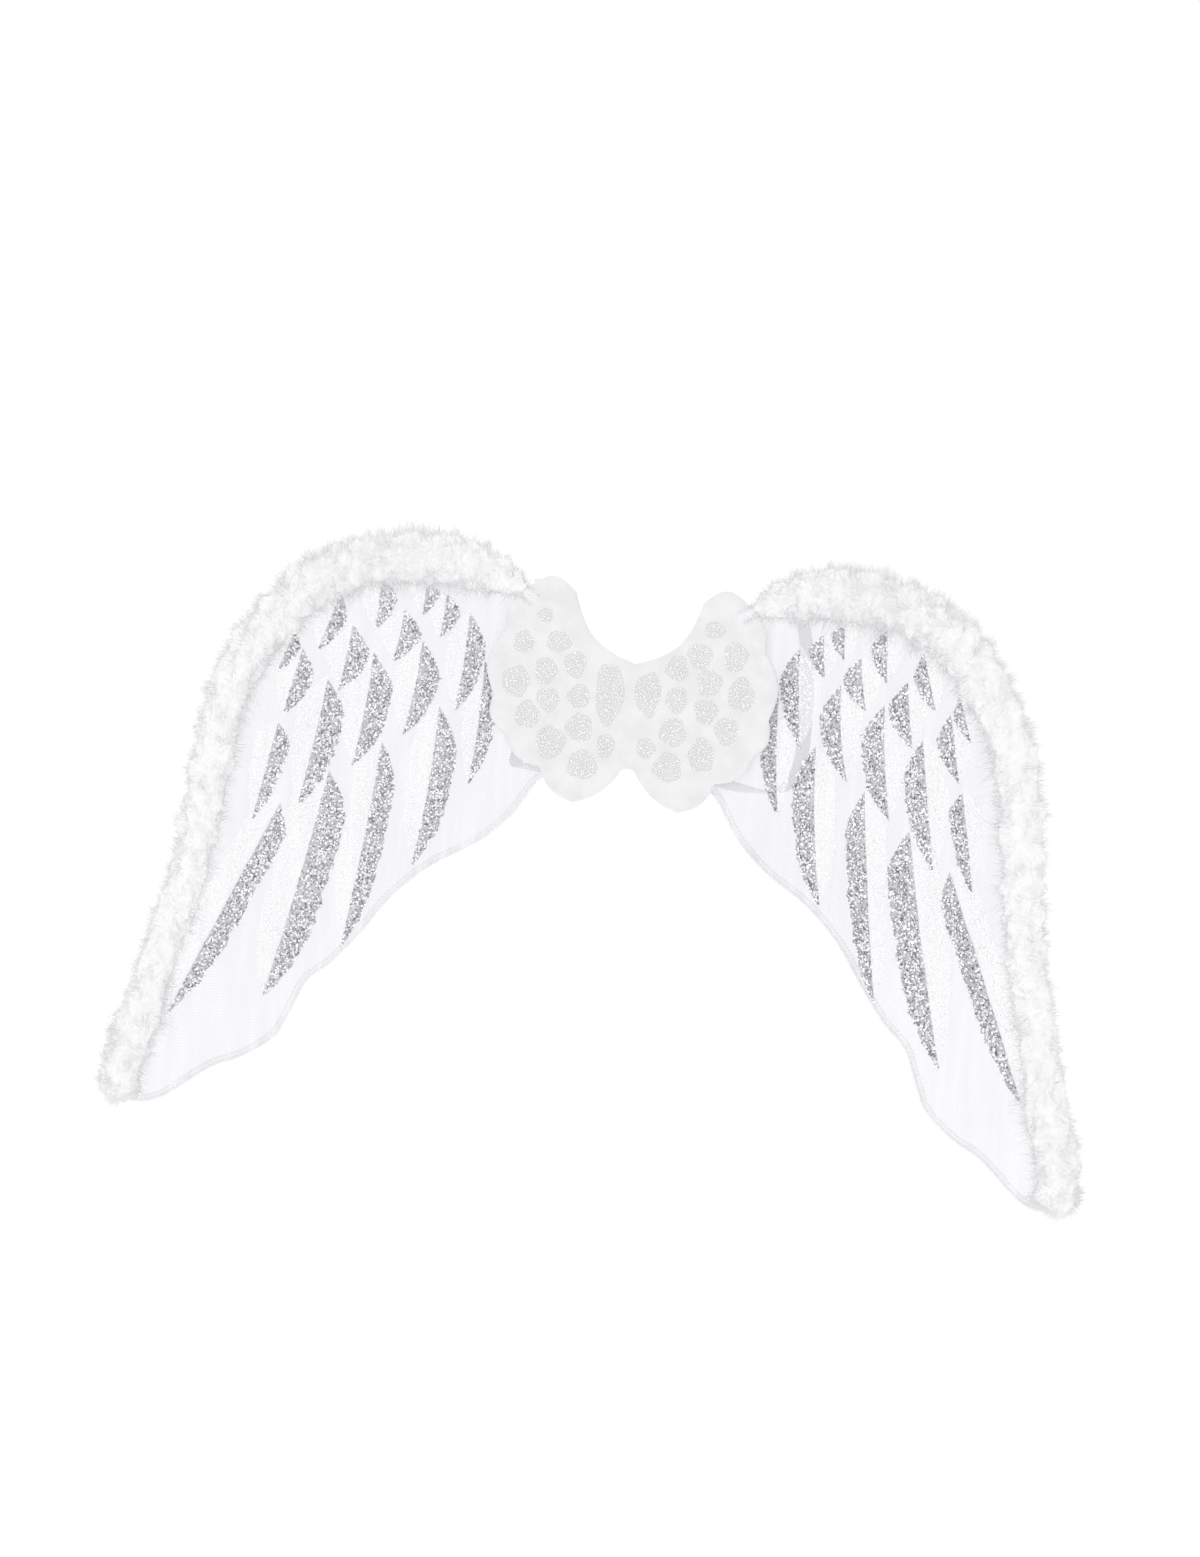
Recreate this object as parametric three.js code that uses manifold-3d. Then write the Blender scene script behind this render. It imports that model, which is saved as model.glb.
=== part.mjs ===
// Costume angel wings: two sheer cloth wings stretched on bent wire loops, a fluffy marabou trim along
// each leading edge, a scalloped patch over the join, and two elastic loops for the shoulders.
//
// Millimetres, +Z up. The wearer stands on the +Y side with their back at the origin, +X is to the right
// for someone who looks at that back, and the decorated side of the wings faces -Y.
//
// Everything but the elastic is drawn flat, as (out, up), and then laid on one upright cylinder, so that
// both wings bend evenly away from the wearer. A layer is a distance from the wearer's back along the
// cylinder's radius. The right wing is drawn, and the left wing is its mirror image.

import * as THREE from "three";
import { mergeVertices } from "three/addons/utils/BufferGeometryUtils.js";
import Module from "manifold-3d";

const wasm = await Module();
wasm.setup();

// Driving sizes of the wings, measured from the origin to the middle of the wire.
const WING_REACH = 349;
const WING_RISE = 98;
const WING_DROP = 300;
const BEND_RADIUS = 760;

const WIRE_DIAMETER = 2.0;
const CLOTH = 1.0;
const GAP = 0.3;

const MARABOU_RADIUS = 22;
const MARABOU_OVERRUN = 9;

const PATCH_HALF_WIDTH = 106;
const PATCH_RISE = 94;
const PATCH_DROP = 65;
const PATCH_THICKNESS = 2.0;

const SLEEVE_WALL = 1.2;
const SLEEVE_SHARE = 0.92;

const ELASTIC_WIDTH = 10;
const ELASTIC_THICKNESS = 1.2;
const SHOULDER_OUT = 103;
const SHOULDER_DEPTH = 112;
const SHOULDER_RISE = 84;
const SHOULDER_DROP = 50;

// Layers, from the wearer's back outwards: elastic, sleeve, patch. The wires run in the sleeve's middle.
const WIRE_RADIUS = WIRE_DIAMETER / 2;
const ELASTIC_LAYER = GAP;
const SLEEVE_HALF_DEPTH = WIRE_RADIUS + GAP + SLEEVE_WALL;
const WIRE_LAYER = ELASTIC_LAYER + ELASTIC_THICKNESS + GAP + SLEEVE_HALF_DEPTH;
const PATCH_LAYER = WIRE_LAYER + SLEEVE_HALF_DEPTH + GAP;

// The ribs of a wing, from the join to the tip. Each runs from the leading edge, at the top, to the
// trailing edge, below. Out is a share of WING_REACH. Up is a share of WING_RISE above the origin and of
// WING_DROP below it. The last column is the marabou's radius there, as a share of MARABOU_RADIUS.
const RIBS = [
  { leadOut: 0.013, leadUp: 0.07, trailOut: 0.013, trailUp: -0.023, fluff: 0 },
  { leadOut: 0.013, leadUp: 0.2, trailOut: 0.013, trailUp: -0.065, fluff: 0 },
  { leadOut: 0.045, leadUp: 0.28, trailOut: 0.045, trailUp: -0.095, fluff: 0 },
  { leadOut: 0.092, leadUp: 0.41, trailOut: 0.097, trailUp: -0.123, fluff: 0 },
  { leadOut: 0.158, leadUp: 0.61, trailOut: 0.172, trailUp: -0.157, fluff: 0 },
  { leadOut: 0.244, leadUp: 0.83, trailOut: 0.241, trailUp: -0.267, fluff: 0.5 },
  { leadOut: 0.338, leadUp: 0.96, trailOut: 0.309, trailUp: -0.337, fluff: 0.92 },
  { leadOut: 0.43, leadUp: 1.0, trailOut: 0.39, trailUp: -0.393, fluff: 1.06 },
  { leadOut: 0.521, leadUp: 0.97, trailOut: 0.467, trailUp: -0.473, fluff: 1.0 },
  { leadOut: 0.602, leadUp: 0.89, trailOut: 0.527, trailUp: -0.567, fluff: 0.96 },
  { leadOut: 0.673, leadUp: 0.745, trailOut: 0.582, trailUp: -0.643, fluff: 0.93 },
  { leadOut: 0.736, leadUp: 0.51, trailOut: 0.63, trailUp: -0.69, fluff: 0.9 },
  { leadOut: 0.791, leadUp: 0.214, trailOut: 0.656, trailUp: -0.753, fluff: 0.86 },
  { leadOut: 0.828, leadUp: -0.04, trailOut: 0.688, trailUp: -0.827, fluff: 0.8 },
  { leadOut: 0.848, leadUp: -0.167, trailOut: 0.751, trailUp: -0.88, fluff: 0.82 },
  { leadOut: 0.865, leadUp: -0.317, trailOut: 0.814, trailUp: -0.91, fluff: 0.78 },
  { leadOut: 0.885, leadUp: -0.45, trailOut: 0.86, trailUp: -0.947, fluff: 0.76 },
  { leadOut: 0.917, leadUp: -0.583, trailOut: 0.9, trailUp: -0.98, fluff: 0.74 },
  { leadOut: 0.948, leadUp: -0.717, trailOut: 0.934, trailUp: -0.997, fluff: 0.78 },
  { leadOut: 0.977, leadUp: -0.84, trailOut: 0.963, trailUp: -1.0, fluff: 0.84 },
  { leadOut: 0.997, leadUp: -0.933, trailOut: 0.989, trailUp: -0.99, fluff: 0.8 },
];
const FIRST_FLUFF_RIB = RIBS.findIndex((rib) => rib.fluff > 0);
const LAST_RIB = RIBS.length - 1;

// The two first ribs are one upright line, and the sleeve covers SLEEVE_SHARE of it. The cloth starts where
// that line ends.
const FIRST_CLOTH_RIB = 1;

// The right half of the patch's edge, from the dip at its top to the notch at its foot. Out is a share of
// PATCH_HALF_WIDTH, and up of PATCH_RISE or PATCH_DROP. Each stretch to the next row is an arc that
// stands out from the patch by bulge, a share of PATCH_HALF_WIDTH, or cuts into it where that is negative.
const PATCH_EDGE = [
  { out: 0, up: 0.385, bulge: -0.1 },
  { out: 0.434, up: 0.88, bulge: 0.09 },
  { out: 0.755, up: 0.893, bulge: 0.05 },
  { out: 0.89, up: 0.56, bulge: 0.08 },
  { out: 0.95, up: 0.07, bulge: 0.055 },
  { out: 0.86, up: -0.32, bulge: 0.055 },
  { out: 0.605, up: -0.65, bulge: 0.05 },
  { out: 0.36, up: -1.0, bulge: 0.035 },
  { out: 0.066, up: -0.67, bulge: -0.018 },
  { out: 0, up: -0.585, bulge: 0 },
];

// The elastic's way round the right shoulder. Out is a share of SHOULDER_OUT, fore of SHOULDER_DEPTH, and
// up of SHOULDER_RISE or SHOULDER_DROP. Face is the way its outer side looks, in degrees: 0 is away from
// the back, 90 is up, 180 is forward and 270 is down.
const ELASTIC_ROUTE = [
  { out: 0.062, fore: 0, up: 0.15, face: 0 },
  { out: 0.2, fore: 0, up: 0.37, face: 0 },
  { out: 0.5, fore: 0.06, up: 0.68, face: 15 },
  { out: 0.72, fore: 0.22, up: 0.9, face: 50 },
  { out: 0.86, fore: 0.52, up: 1.0, face: 92 },
  { out: 0.93, fore: 0.83, up: 0.84, face: 130 },
  { out: 0.965, fore: 1.0, up: 0.42, face: 168 },
  { out: 0.985, fore: 0.98, up: -0.05, face: 190 },
  { out: 1.0, fore: 0.8, up: -0.72, face: 225 },
  { out: 0.94, fore: 0.5, up: -1.0, face: 268 },
  { out: 0.74, fore: 0.2, up: -0.94, face: 318 },
  { out: 0.42, fore: 0.05, up: -0.72, face: 350 },
  { out: 0.2, fore: 0, up: -0.5, face: 360 },
  { out: 0.062, fore: 0, up: -0.25, face: 360 },
];

// How finely the curves are cut into flat faces.
const STEPS_PER_RIB = 3;
const CLOTH_ROWS = 6;
const WIRE_SIDES = 8;
const MARABOU_SIDES = 14;
const PATCH_COLUMNS = 24;
const ELASTIC_STEPS_PER_ROW = 4;
const ARC_STEP = 7;
const SLEEVE_END_POINTS = 6;

const WHITE_WIRE = { color: 0xe9e9ea, roughness: 0.45, metalness: 0 };
const SHEER_CLOTH = { color: 0xf1f1f4, roughness: 0.7, metalness: 0 };
const MARABOU_DOWN = { color: 0xf6f6f7, roughness: 0.95, metalness: 0 };
const PATCH_FELT = { color: 0xf4f4f5, roughness: 0.85, metalness: 0 };
const BINDING_TAPE = { color: 0xededee, roughness: 0.8, metalness: 0 };
const WOVEN_ELASTIC = { color: 0xeeeef0, roughness: 0.8, metalness: 0 };

const heightOf = (share, rise, drop) => (share >= 0 ? share * rise : share * drop);

// A flat point at a layer, laid on the cylinder.
function laid(out, up, layer) {
  const turn = out / BEND_RADIUS;
  const radius = BEND_RADIUS - layer;
  return new THREE.Vector3(
    radius * Math.sin(turn),
    radius * Math.cos(turn) - BEND_RADIUS,
    up,
  );
}

// A mesh from rings of points. Each ring is an outline with its inner side on the left hand as seen from
// the ring before it, so that the faces point out. An open run of rings is capped at both ends.
function loft(rings, closed) {
  const count = rings[0].length;
  const positions = rings.flat().flatMap((point) => point.toArray());
  const faces = [];
  const last = closed ? rings.length : rings.length - 1;
  for (let ring = 0; ring < last; ring++) {
    const here = ring * count;
    const next = ((ring + 1) % rings.length) * count;
    for (let side = 0; side < count; side++) {
      const across = (side + 1) % count;
      faces.push(here + side, here + across, next + across);
      faces.push(here + side, next + across, next + side);
    }
  }
  if (!closed) {
    const flat = flattened(rings[0]);
    for (const [a, b, c] of THREE.ShapeUtils.triangulateShape(flat, [])) {
      faces.push(a, c, b);
      const end = (rings.length - 1) * count;
      faces.push(end + a, end + b, end + c);
    }
  }
  const geometry = new THREE.BufferGeometry();
  geometry.setAttribute("position", new THREE.Float32BufferAttribute(positions, 3));
  geometry.setIndex(faces);
  return geometry;
}

// A ring's points in its own plane, for the caps.
function flattened(ring) {
  const along = ring[1].clone().sub(ring[0]).normalize();
  const normal = new THREE.Vector3();
  for (let i = 0; i < ring.length; i++) {
    normal.add(ring[i].clone().cross(ring[(i + 1) % ring.length]));
  }
  const across = normal.normalize().cross(along);
  return ring.map((point) => new THREE.Vector2(point.dot(along), point.dot(across)));
}

// Turned the right way out, whichever hand its rings run in.
function facingOut(geometry) {
  const position = geometry.getAttribute("position");
  const index = geometry.index.array;
  const corner = (i) => new THREE.Vector3().fromBufferAttribute(position, index[i]);
  let volume = 0;
  for (let i = 0; i < index.length; i += 3) {
    volume += corner(i).dot(corner(i + 1).cross(corner(i + 2)));
  }
  if (volume < 0) {
    for (let i = 0; i < index.length; i += 3) {
      [index[i + 1], index[i + 2]] = [index[i + 2], index[i + 1]];
    }
  }
  return geometry;
}

const solidOf = (geometry) => {
  const bare = geometry.clone();
  bare.deleteAttribute("normal");
  bare.deleteAttribute("uv");
  const merged = mergeVertices(bare, 1e-4);
  return new wasm.Manifold(
    new wasm.Mesh({
      numProp: 3,
      vertProperties: merged.getAttribute("position").array,
      triVerts: new Uint32Array(merged.index.array),
    }),
  );
};

function geometryOf(solid) {
  const mesh = solid.getMesh();
  const geometry = new THREE.BufferGeometry();
  geometry.setAttribute("position", new THREE.BufferAttribute(mesh.vertProperties, 3));
  geometry.setIndex(new THREE.BufferAttribute(mesh.triVerts, 1));
  return geometry;
}

const leadPoint = (rib) =>
  new THREE.Vector3(rib.leadOut * WING_REACH, heightOf(rib.leadUp, WING_RISE, WING_DROP), 0);
const trailPoint = (rib) =>
  new THREE.Vector3(rib.trailOut * WING_REACH, heightOf(rib.trailUp, WING_RISE, WING_DROP), 0);

// The wire's whole way round one wing, flat: out along the leading edge and back along the trailing one.
const wireLoop = new THREE.CatmullRomCurve3(
  [...RIBS.map(leadPoint), ...RIBS.map(trailPoint).reverse()],
  true,
  "centripetal",
);
const LOOP_POINTS = 2 * RIBS.length;
const onLead = (rib) => rib / LOOP_POINTS;
const onTrail = (rib) => (2 * RIBS.length - 1 - rib) / LOOP_POINTS;

// A point of the wire's loop, moved towards the inside of the wing by inset.
function loopPoint(share, inset) {
  const point = wireLoop.getPoint(share);
  const along = wireLoop.getTangent(share);
  return new THREE.Vector2(point.x + along.y * inset, point.y - along.x * inset);
}

// A round tube along a flat curve at the wires' layer, with a ring of the given radius at each share.
function tubeRings(curve, shares, radiusAt, sides) {
  return shares.map((share) => {
    const point = curve.getPoint(share);
    const along = curve.getTangent(share);
    const across = new THREE.Vector2(along.y, -along.x);
    const radius = radiusAt(share);
    return Array.from({ length: sides }, (_, side) => {
      const angle = (2 * Math.PI * (side + 0.5)) / sides;
      const inPlane = radius * Math.cos(angle);
      return laid(
        point.x + across.x * inPlane,
        point.y + across.y * inPlane,
        WIRE_LAYER + radius * Math.sin(angle),
      );
    });
  });
}

function wireGeometry(radius) {
  const steps = LOOP_POINTS * STEPS_PER_RIB;
  const shares = Array.from({ length: steps }, (_, i) => i / steps);
  return facingOut(loft(tubeRings(wireLoop, shares, () => radius, WIRE_SIDES), true));
}

// The cloth inside the wire, as a thin curved slab. Inset is from the middle of the wire.
function clothGeometry(thickness, inset) {
  const steps = (LAST_RIB - FIRST_CLOTH_RIB) * STEPS_PER_RIB;
  const columns = [];
  for (let step = 0; step <= steps; step++) {
    const rib = FIRST_CLOTH_RIB + step / STEPS_PER_RIB;
    const lead = loopPoint(onLead(rib), inset);
    const trail = loopPoint(onTrail(rib), inset);
    // The first rib lies beside the sleeve, so it is moved out from that.
    if (step === 0) {
      lead.x = RIBS[0].leadOut * WING_REACH + SLEEVE_HALF_DEPTH + GAP;
      trail.x = lead.x;
    }
    const column = [];
    for (const layer of [WIRE_LAYER - thickness / 2, WIRE_LAYER + thickness / 2]) {
      const side = [];
      for (let row = 0; row <= CLOTH_ROWS; row++) {
        const at = lead.clone().lerp(trail, row / CLOTH_ROWS);
        side.push(laid(at.x, at.y, layer));
      }
      column.push(layer < WIRE_LAYER ? side : side.reverse());
    }
    columns.push(column.flat());
  }
  return facingOut(loft(columns, false));
}

// The marabou's outer form: a thick soft tube along the leading edge with rounded ends. The wire and the
// cloth are cut out of it with a gap, and so is the patch, which lies over its inner end.
function marabouGeometry() {
  const leadShares = [];
  const steps = (LAST_RIB - FIRST_FLUFF_RIB) * STEPS_PER_RIB;
  for (let step = 0; step <= steps; step++) {
    leadShares.push(onLead(FIRST_FLUFF_RIB + step / STEPS_PER_RIB));
  }
  const flat = leadShares.map((share) => wireLoop.getPoint(share));
  const beyond = flat.at(-1).clone().sub(flat.at(-2)).setLength(MARABOU_OVERRUN);
  flat.push(flat.at(-1).clone().add(beyond));
  const route = new THREE.CatmullRomCurve3(flat, false, "centripetal");
  const shares = flat.map((_, i) => i / (flat.length - 1));
  const radiusAt = (share) => {
    const rib = FIRST_FLUFF_RIB + (share * (flat.length - 1)) / STEPS_PER_RIB;
    const below = Math.min(Math.floor(rib), LAST_RIB);
    const above = Math.min(below + 1, LAST_RIB);
    const fluff = THREE.MathUtils.lerp(RIBS[below].fluff, RIBS[above].fluff, rib - below);
    const end = share === 1 ? 0.6 : 1;
    return fluff * end * MARABOU_RADIUS;
  };
  const whole = solidOf(facingOut(loft(tubeRings(route, shares, radiusAt, MARABOU_SIDES), false)));
  const wireCutter = solidOf(wireGeometry(WIRE_RADIUS + GAP));
  const clothCutter = solidOf(clothGeometry(CLOTH + 2 * GAP, 0));
  return geometryOf(whole.subtract(wireCutter).subtract(clothCutter).subtract(patchSolid(GAP)));
}

// The patch's whole edge, flat, anticlockwise from the dip.
function patchOutline() {
  const corners = PATCH_EDGE.map((row) => ({
    x: row.out * PATCH_HALF_WIDTH,
    y: heightOf(row.up, PATCH_RISE, PATCH_DROP),
    bulge: row.bulge * PATCH_HALF_WIDTH,
  }));
  const half = [];
  for (let i = 0; i + 1 < corners.length; i++) {
    const from = new THREE.Vector2(corners[i].x, corners[i].y);
    const to = new THREE.Vector2(corners[i + 1].x, corners[i + 1].y);
    half.push(...arcPoints(from, to, corners[i].bulge));
  }
  half.push(new THREE.Vector2(corners.at(-1).x, corners.at(-1).y));
  const left = half.slice(1, -1).map((point) => new THREE.Vector2(-point.x, point.y));
  return [...half, ...left.reverse()].reverse();
}

// Points along an arc that stands off its chord by bulge, without the last one.
function arcPoints(from, to, bulge) {
  const chord = to.clone().sub(from);
  const steps = Math.max(2, Math.ceil(chord.length() / ARC_STEP));
  const side = new THREE.Vector2(-chord.y, chord.x).normalize();
  return Array.from({ length: steps }, (_, i) => {
    const share = i / steps;
    const stand = bulge * Math.sin(Math.PI * share);
    return from.clone().addScaledVector(chord, share).addScaledVector(side, stand);
  });
}

// An anticlockwise outline, moved outwards by a margin on every side.
function grown(outline, margin) {
  return outline.map((point, i) => {
    const before = point.clone().sub(outline.at(i - 1));
    const after = outline[(i + 1) % outline.length].clone().sub(point);
    const first = new THREE.Vector2(before.y, -before.x).normalize();
    const second = new THREE.Vector2(after.y, -after.x).normalize();
    const between = first.clone().add(second);
    return point.clone().addScaledVector(between, margin / between.dot(first));
  });
}

// An upright sheet bent round the cylinder, from one layer to another, wider and taller than the patch.
function bentSheet(nearLayer, farLayer) {
  const reach = (PATCH_HALF_WIDTH * 1.1) / BEND_RADIUS;
  const arc = (layer) =>
    Array.from({ length: PATCH_COLUMNS + 1 }, (_, i) => {
      const turn = reach * ((2 * i) / PATCH_COLUMNS - 1);
      const radius = BEND_RADIUS - layer;
      return new THREE.Vector2(radius * Math.sin(turn), radius * Math.cos(turn) - BEND_RADIUS);
    });
  const plan = new THREE.Shape([...arc(nearLayer), ...arc(farLayer).reverse()]);
  const height = 2 * (PATCH_RISE + PATCH_DROP);
  const sheet = new THREE.ExtrudeGeometry(plan, { depth: height, bevelEnabled: false });
  return sheet.translate(0, 0, -height / 2);
}

// The patch, grown by a margin on every side: a bent sheet, cut to the outline seen from behind the
// wearer.
function patchSolid(margin) {
  const sheet = bentSheet(PATCH_LAYER - margin, PATCH_LAYER + PATCH_THICKNESS + margin);
  const outline = new THREE.Shape(grown(patchOutline(), margin));
  const depth = PATCH_HALF_WIDTH;
  const cutter = new THREE.ExtrudeGeometry(outline, { depth, bevelEnabled: false });
  return solidOf(sheet).intersect(solidOf(cutter.rotateX(Math.PI / 2)));
}

// The elastic of the right shoulder: a flat band that keeps its outer side the way each row faces.
function elasticGeometry() {
  const rows = ELASTIC_ROUTE.map((row) => ({
    place: new THREE.Vector3(
      row.out * SHOULDER_OUT,
      row.fore * SHOULDER_DEPTH - ELASTIC_LAYER - ELASTIC_THICKNESS / 2,
      heightOf(row.up, SHOULDER_RISE, SHOULDER_DROP),
    ),
    face: THREE.MathUtils.degToRad(row.face),
  }));
  const route = new THREE.CatmullRomCurve3(
    rows.map((row) => row.place),
    false,
    "centripetal",
  );
  const steps = (rows.length - 1) * ELASTIC_STEPS_PER_ROW;
  const rings = [];
  for (let step = 0; step <= steps; step++) {
    const share = step / steps;
    const place = route.getPoint(share);
    const along = route.getTangent(share);
    const row = Math.min(Math.floor(step / ELASTIC_STEPS_PER_ROW), rows.length - 2);
    const part = step / ELASTIC_STEPS_PER_ROW - row;
    const face = THREE.MathUtils.lerp(rows[row].face, rows[row + 1].face, part);
    const outward = new THREE.Vector3(0, -Math.cos(face), Math.sin(face));
    outward.addScaledVector(along, -outward.dot(along)).normalize();
    const across = new THREE.Vector3().crossVectors(along, outward);
    const corner = (sideways, outwards) =>
      place
        .clone()
        .addScaledVector(across, (sideways * ELASTIC_WIDTH) / 2)
        .addScaledVector(outward, (outwards * ELASTIC_THICKNESS) / 2);
    rings.push([corner(-1, -1), corner(1, -1), corner(1, 1), corner(-1, 1)]);
  }
  return facingOut(loft(rings, false));
}

// The tape sleeve that holds the two wires side by side at the join: a flat oval tube with one oval bore.
function sleeveGeometry() {
  const wireOut = RIBS[0].leadOut * WING_REACH;
  const oval = new THREE.Shape(stadium(wireOut, SLEEVE_HALF_DEPTH));
  oval.holes.push(new THREE.Path(stadium(wireOut, WIRE_RADIUS + GAP)));
  const top = leadPoint(RIBS[FIRST_CLOTH_RIB]).y;
  const foot = trailPoint(RIBS[FIRST_CLOTH_RIB]).y;
  const depth = SLEEVE_SHARE * (top - foot);
  const geometry = new THREE.ExtrudeGeometry(oval, { depth, bevelEnabled: false });
  return geometry.translate(0, -WIRE_LAYER, (top + foot - depth) / 2);
}

// An oval with straight sides: two half circles of that radius, spread to either side.
function stadium(halfSpread, radius) {
  const points = [];
  for (const side of [1, -1]) {
    for (let i = 0; i <= SLEEVE_END_POINTS; i++) {
      const angle = (Math.PI * i) / SLEEVE_END_POINTS - (side * Math.PI) / 2;
      const across = side * halfSpread + radius * Math.cos(angle);
      points.push(new THREE.Vector2(across, radius * Math.sin(angle)));
    }
  }
  return points;
}

function named(name, geometry, finish) {
  const mesh = new THREE.Mesh(geometry, new THREE.MeshStandardMaterial(finish));
  mesh.name = name;
  return mesh;
}

const wings = new THREE.Group();
wings.add(named("scalloped_patch", geometryOf(patchSolid(0)), PATCH_FELT));
wings.add(named("wire_sleeve", sleeveGeometry(), BINDING_TAPE));

const sidePieces = [
  ["wire_loop", wireGeometry(WIRE_RADIUS), WHITE_WIRE],
  ["wing_cloth", clothGeometry(CLOTH, WIRE_RADIUS + GAP), SHEER_CLOTH],
  ["marabou_trim", marabouGeometry(), MARABOU_DOWN],
  ["shoulder_elastic", elasticGeometry(), WOVEN_ELASTIC],
];
const sides = [
  { side: "right", mirror: 1 },
  { side: "left", mirror: -1 },
];
for (const { side, mirror } of sides) {
  const wing = new THREE.Group();
  wing.scale.x = mirror;
  for (const [name, geometry, finish] of sidePieces) {
    wing.add(named(`${name}_${side}`, geometry, finish));
  }
  wings.add(wing);
}

export default wings;
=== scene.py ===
"""Costume angel wings: the visible cloth, down, glitter, felt, elastic and tape over the wings' frame.

Sizes in this file are in millimetres on the flat wing, as (out, up) from the middle of the join. A layer
is a distance from the wearer's back. Everything is laid on one upright cylinder, as the frame is, and
turned to metres there. The right wing is drawn, and the left wing mirrors it, but for where its print
and its barbs lie.
"""

import math

import bmesh
import bpy
import numpy as np
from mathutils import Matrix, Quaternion, Vector
from mathutils.geometry import delaunay_2d_cdt


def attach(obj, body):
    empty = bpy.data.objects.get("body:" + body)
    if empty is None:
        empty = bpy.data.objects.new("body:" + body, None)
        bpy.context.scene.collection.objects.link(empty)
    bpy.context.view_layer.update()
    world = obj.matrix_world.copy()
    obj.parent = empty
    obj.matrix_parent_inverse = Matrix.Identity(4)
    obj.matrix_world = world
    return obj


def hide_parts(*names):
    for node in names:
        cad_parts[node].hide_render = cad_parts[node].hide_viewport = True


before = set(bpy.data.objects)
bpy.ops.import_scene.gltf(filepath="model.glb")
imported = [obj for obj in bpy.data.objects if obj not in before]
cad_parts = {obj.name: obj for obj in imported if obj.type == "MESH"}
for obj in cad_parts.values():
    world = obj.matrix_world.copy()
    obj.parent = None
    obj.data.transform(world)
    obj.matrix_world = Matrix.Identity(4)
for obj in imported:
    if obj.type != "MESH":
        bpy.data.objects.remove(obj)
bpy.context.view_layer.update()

bl_info = {
    "name": "Costume angel wings",
    "version": (1, 0, 0),
    "blender": (4, 5, 0),
    "location": "3D View > Sidebar > Wings",
    "description": "Builds sheer glitter wings with marabou trims, a felt patch and shoulder elastics",
    "category": "Add Mesh",
}

MM = 0.001
BODY = "root"
SIDES = (("right", 1), ("left", -1))

# The wing's ribs, as in the frame: leading and trailing edge, as shares of reach, rise and drop, and the
# marabou's radius, as a share of its largest.
RIBS = np.array(
    [
        # lead out, lead up, trail out, trail up, fluff
        [0.013, 0.07, 0.013, -0.023, 0],
        [0.013, 0.2, 0.013, -0.065, 0],
        [0.045, 0.28, 0.045, -0.095, 0],
        [0.092, 0.41, 0.097, -0.123, 0],
        [0.158, 0.61, 0.172, -0.157, 0],
        [0.244, 0.83, 0.241, -0.267, 0.5],
        [0.338, 0.96, 0.309, -0.337, 0.92],
        [0.43, 1.0, 0.39, -0.393, 1.06],
        [0.521, 0.97, 0.467, -0.473, 1.0],
        [0.602, 0.89, 0.527, -0.567, 0.96],
        [0.673, 0.745, 0.582, -0.643, 0.93],
        [0.736, 0.51, 0.63, -0.69, 0.9],
        [0.791, 0.214, 0.656, -0.753, 0.86],
        [0.828, -0.04, 0.688, -0.827, 0.8],
        [0.848, -0.167, 0.751, -0.88, 0.82],
        [0.865, -0.317, 0.814, -0.91, 0.78],
        [0.885, -0.45, 0.86, -0.947, 0.76],
        [0.917, -0.583, 0.9, -0.98, 0.74],
        [0.948, -0.717, 0.934, -0.997, 0.78],
        [0.977, -0.84, 0.963, -1.0, 0.84],
        [0.997, -0.933, 0.989, -0.99, 0.8],
    ]
)
FIRST_CLOTH_RIB = 1
FIRST_FLUFF_RIB = 5
LAST_RIB = len(RIBS) - 1

# The glitter feathers: root and tip in mm on the flat wing, the silver half's widest width, the share of
# its length where it has its full width, and how far the vein bows outwards, as a share of its length.
FEATHERS = [
    # root out, root up, tip out, tip up, width, shoulder, bow
    (208, 66, 221, 27, 12, 0.42, 0.0),
    (180, 80, 182, 43, 13, 0.42, 0.01),
    (148, 82, 149, 55, 11, 0.45, 0.01),
    (133, 71, 136, 41, 12, 0.42, 0.02),
    (238, 40, 249, 10, 9, 0.42, 0.0),
    (232, 27, 243, -19, 14, 0.42, 0.0),
    (198, 45, 205, 0, 16.5, 0.42, 0.01),
    (162, 58, 168, 22, 15.5, 0.42, 0.02),
    (246, -25, 260, -92, 12, 0.2, 0.0),
    (213, 7, 229, -82, 16.5, 0.26, 0.01),
    (182, 28, 192, -51, 18, 0.34, 0.02),
    (148, 38, 158, -28, 16, 0.36, 0.03),
    (116, 60, 122, -9, 14, 0.36, 0.02),
    (103, 28, 109, -58, 12.5, 0.34, 0.02),
    (241, -80, 312, -230, 14.5, 0.13, 0.0),
    (208, -56, 245, -215, 20, 0.18, 0.01),
    (172, -33, 192, -178, 14.5, 0.2, 0.01),
    (133, -6, 145, -117, 16, 0.28, 0.02),
]

# The print lies a little differently on each wing: moved out and up, in mm, and stretched upwards.
PRINT_DRIFT = {
    "right": (2.1, -1.8, 1.0),
    "left": (5.8, 0.5, 1.03),
}

# A feather's grid: steps along its vein, and rows across each half.
FEATHER_STEPS = 42
FEATHER_ROWS = 7

# The patch, as in the frame: its half width, its height above and below the origin, its layer and felt.
PATCH_HALF_WIDTH = 106.0
PATCH_RISE = 94.0
PATCH_DROP = 65.0
PATCH_LAYER = 7.1
PATCH_THICKNESS = 2.0

# Where the packed down starts along its string, clear of the patch, and the layer just in front of that.
PATCH_CLEARANCE = 9.0
PATCH_FRONT = 10.0

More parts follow.
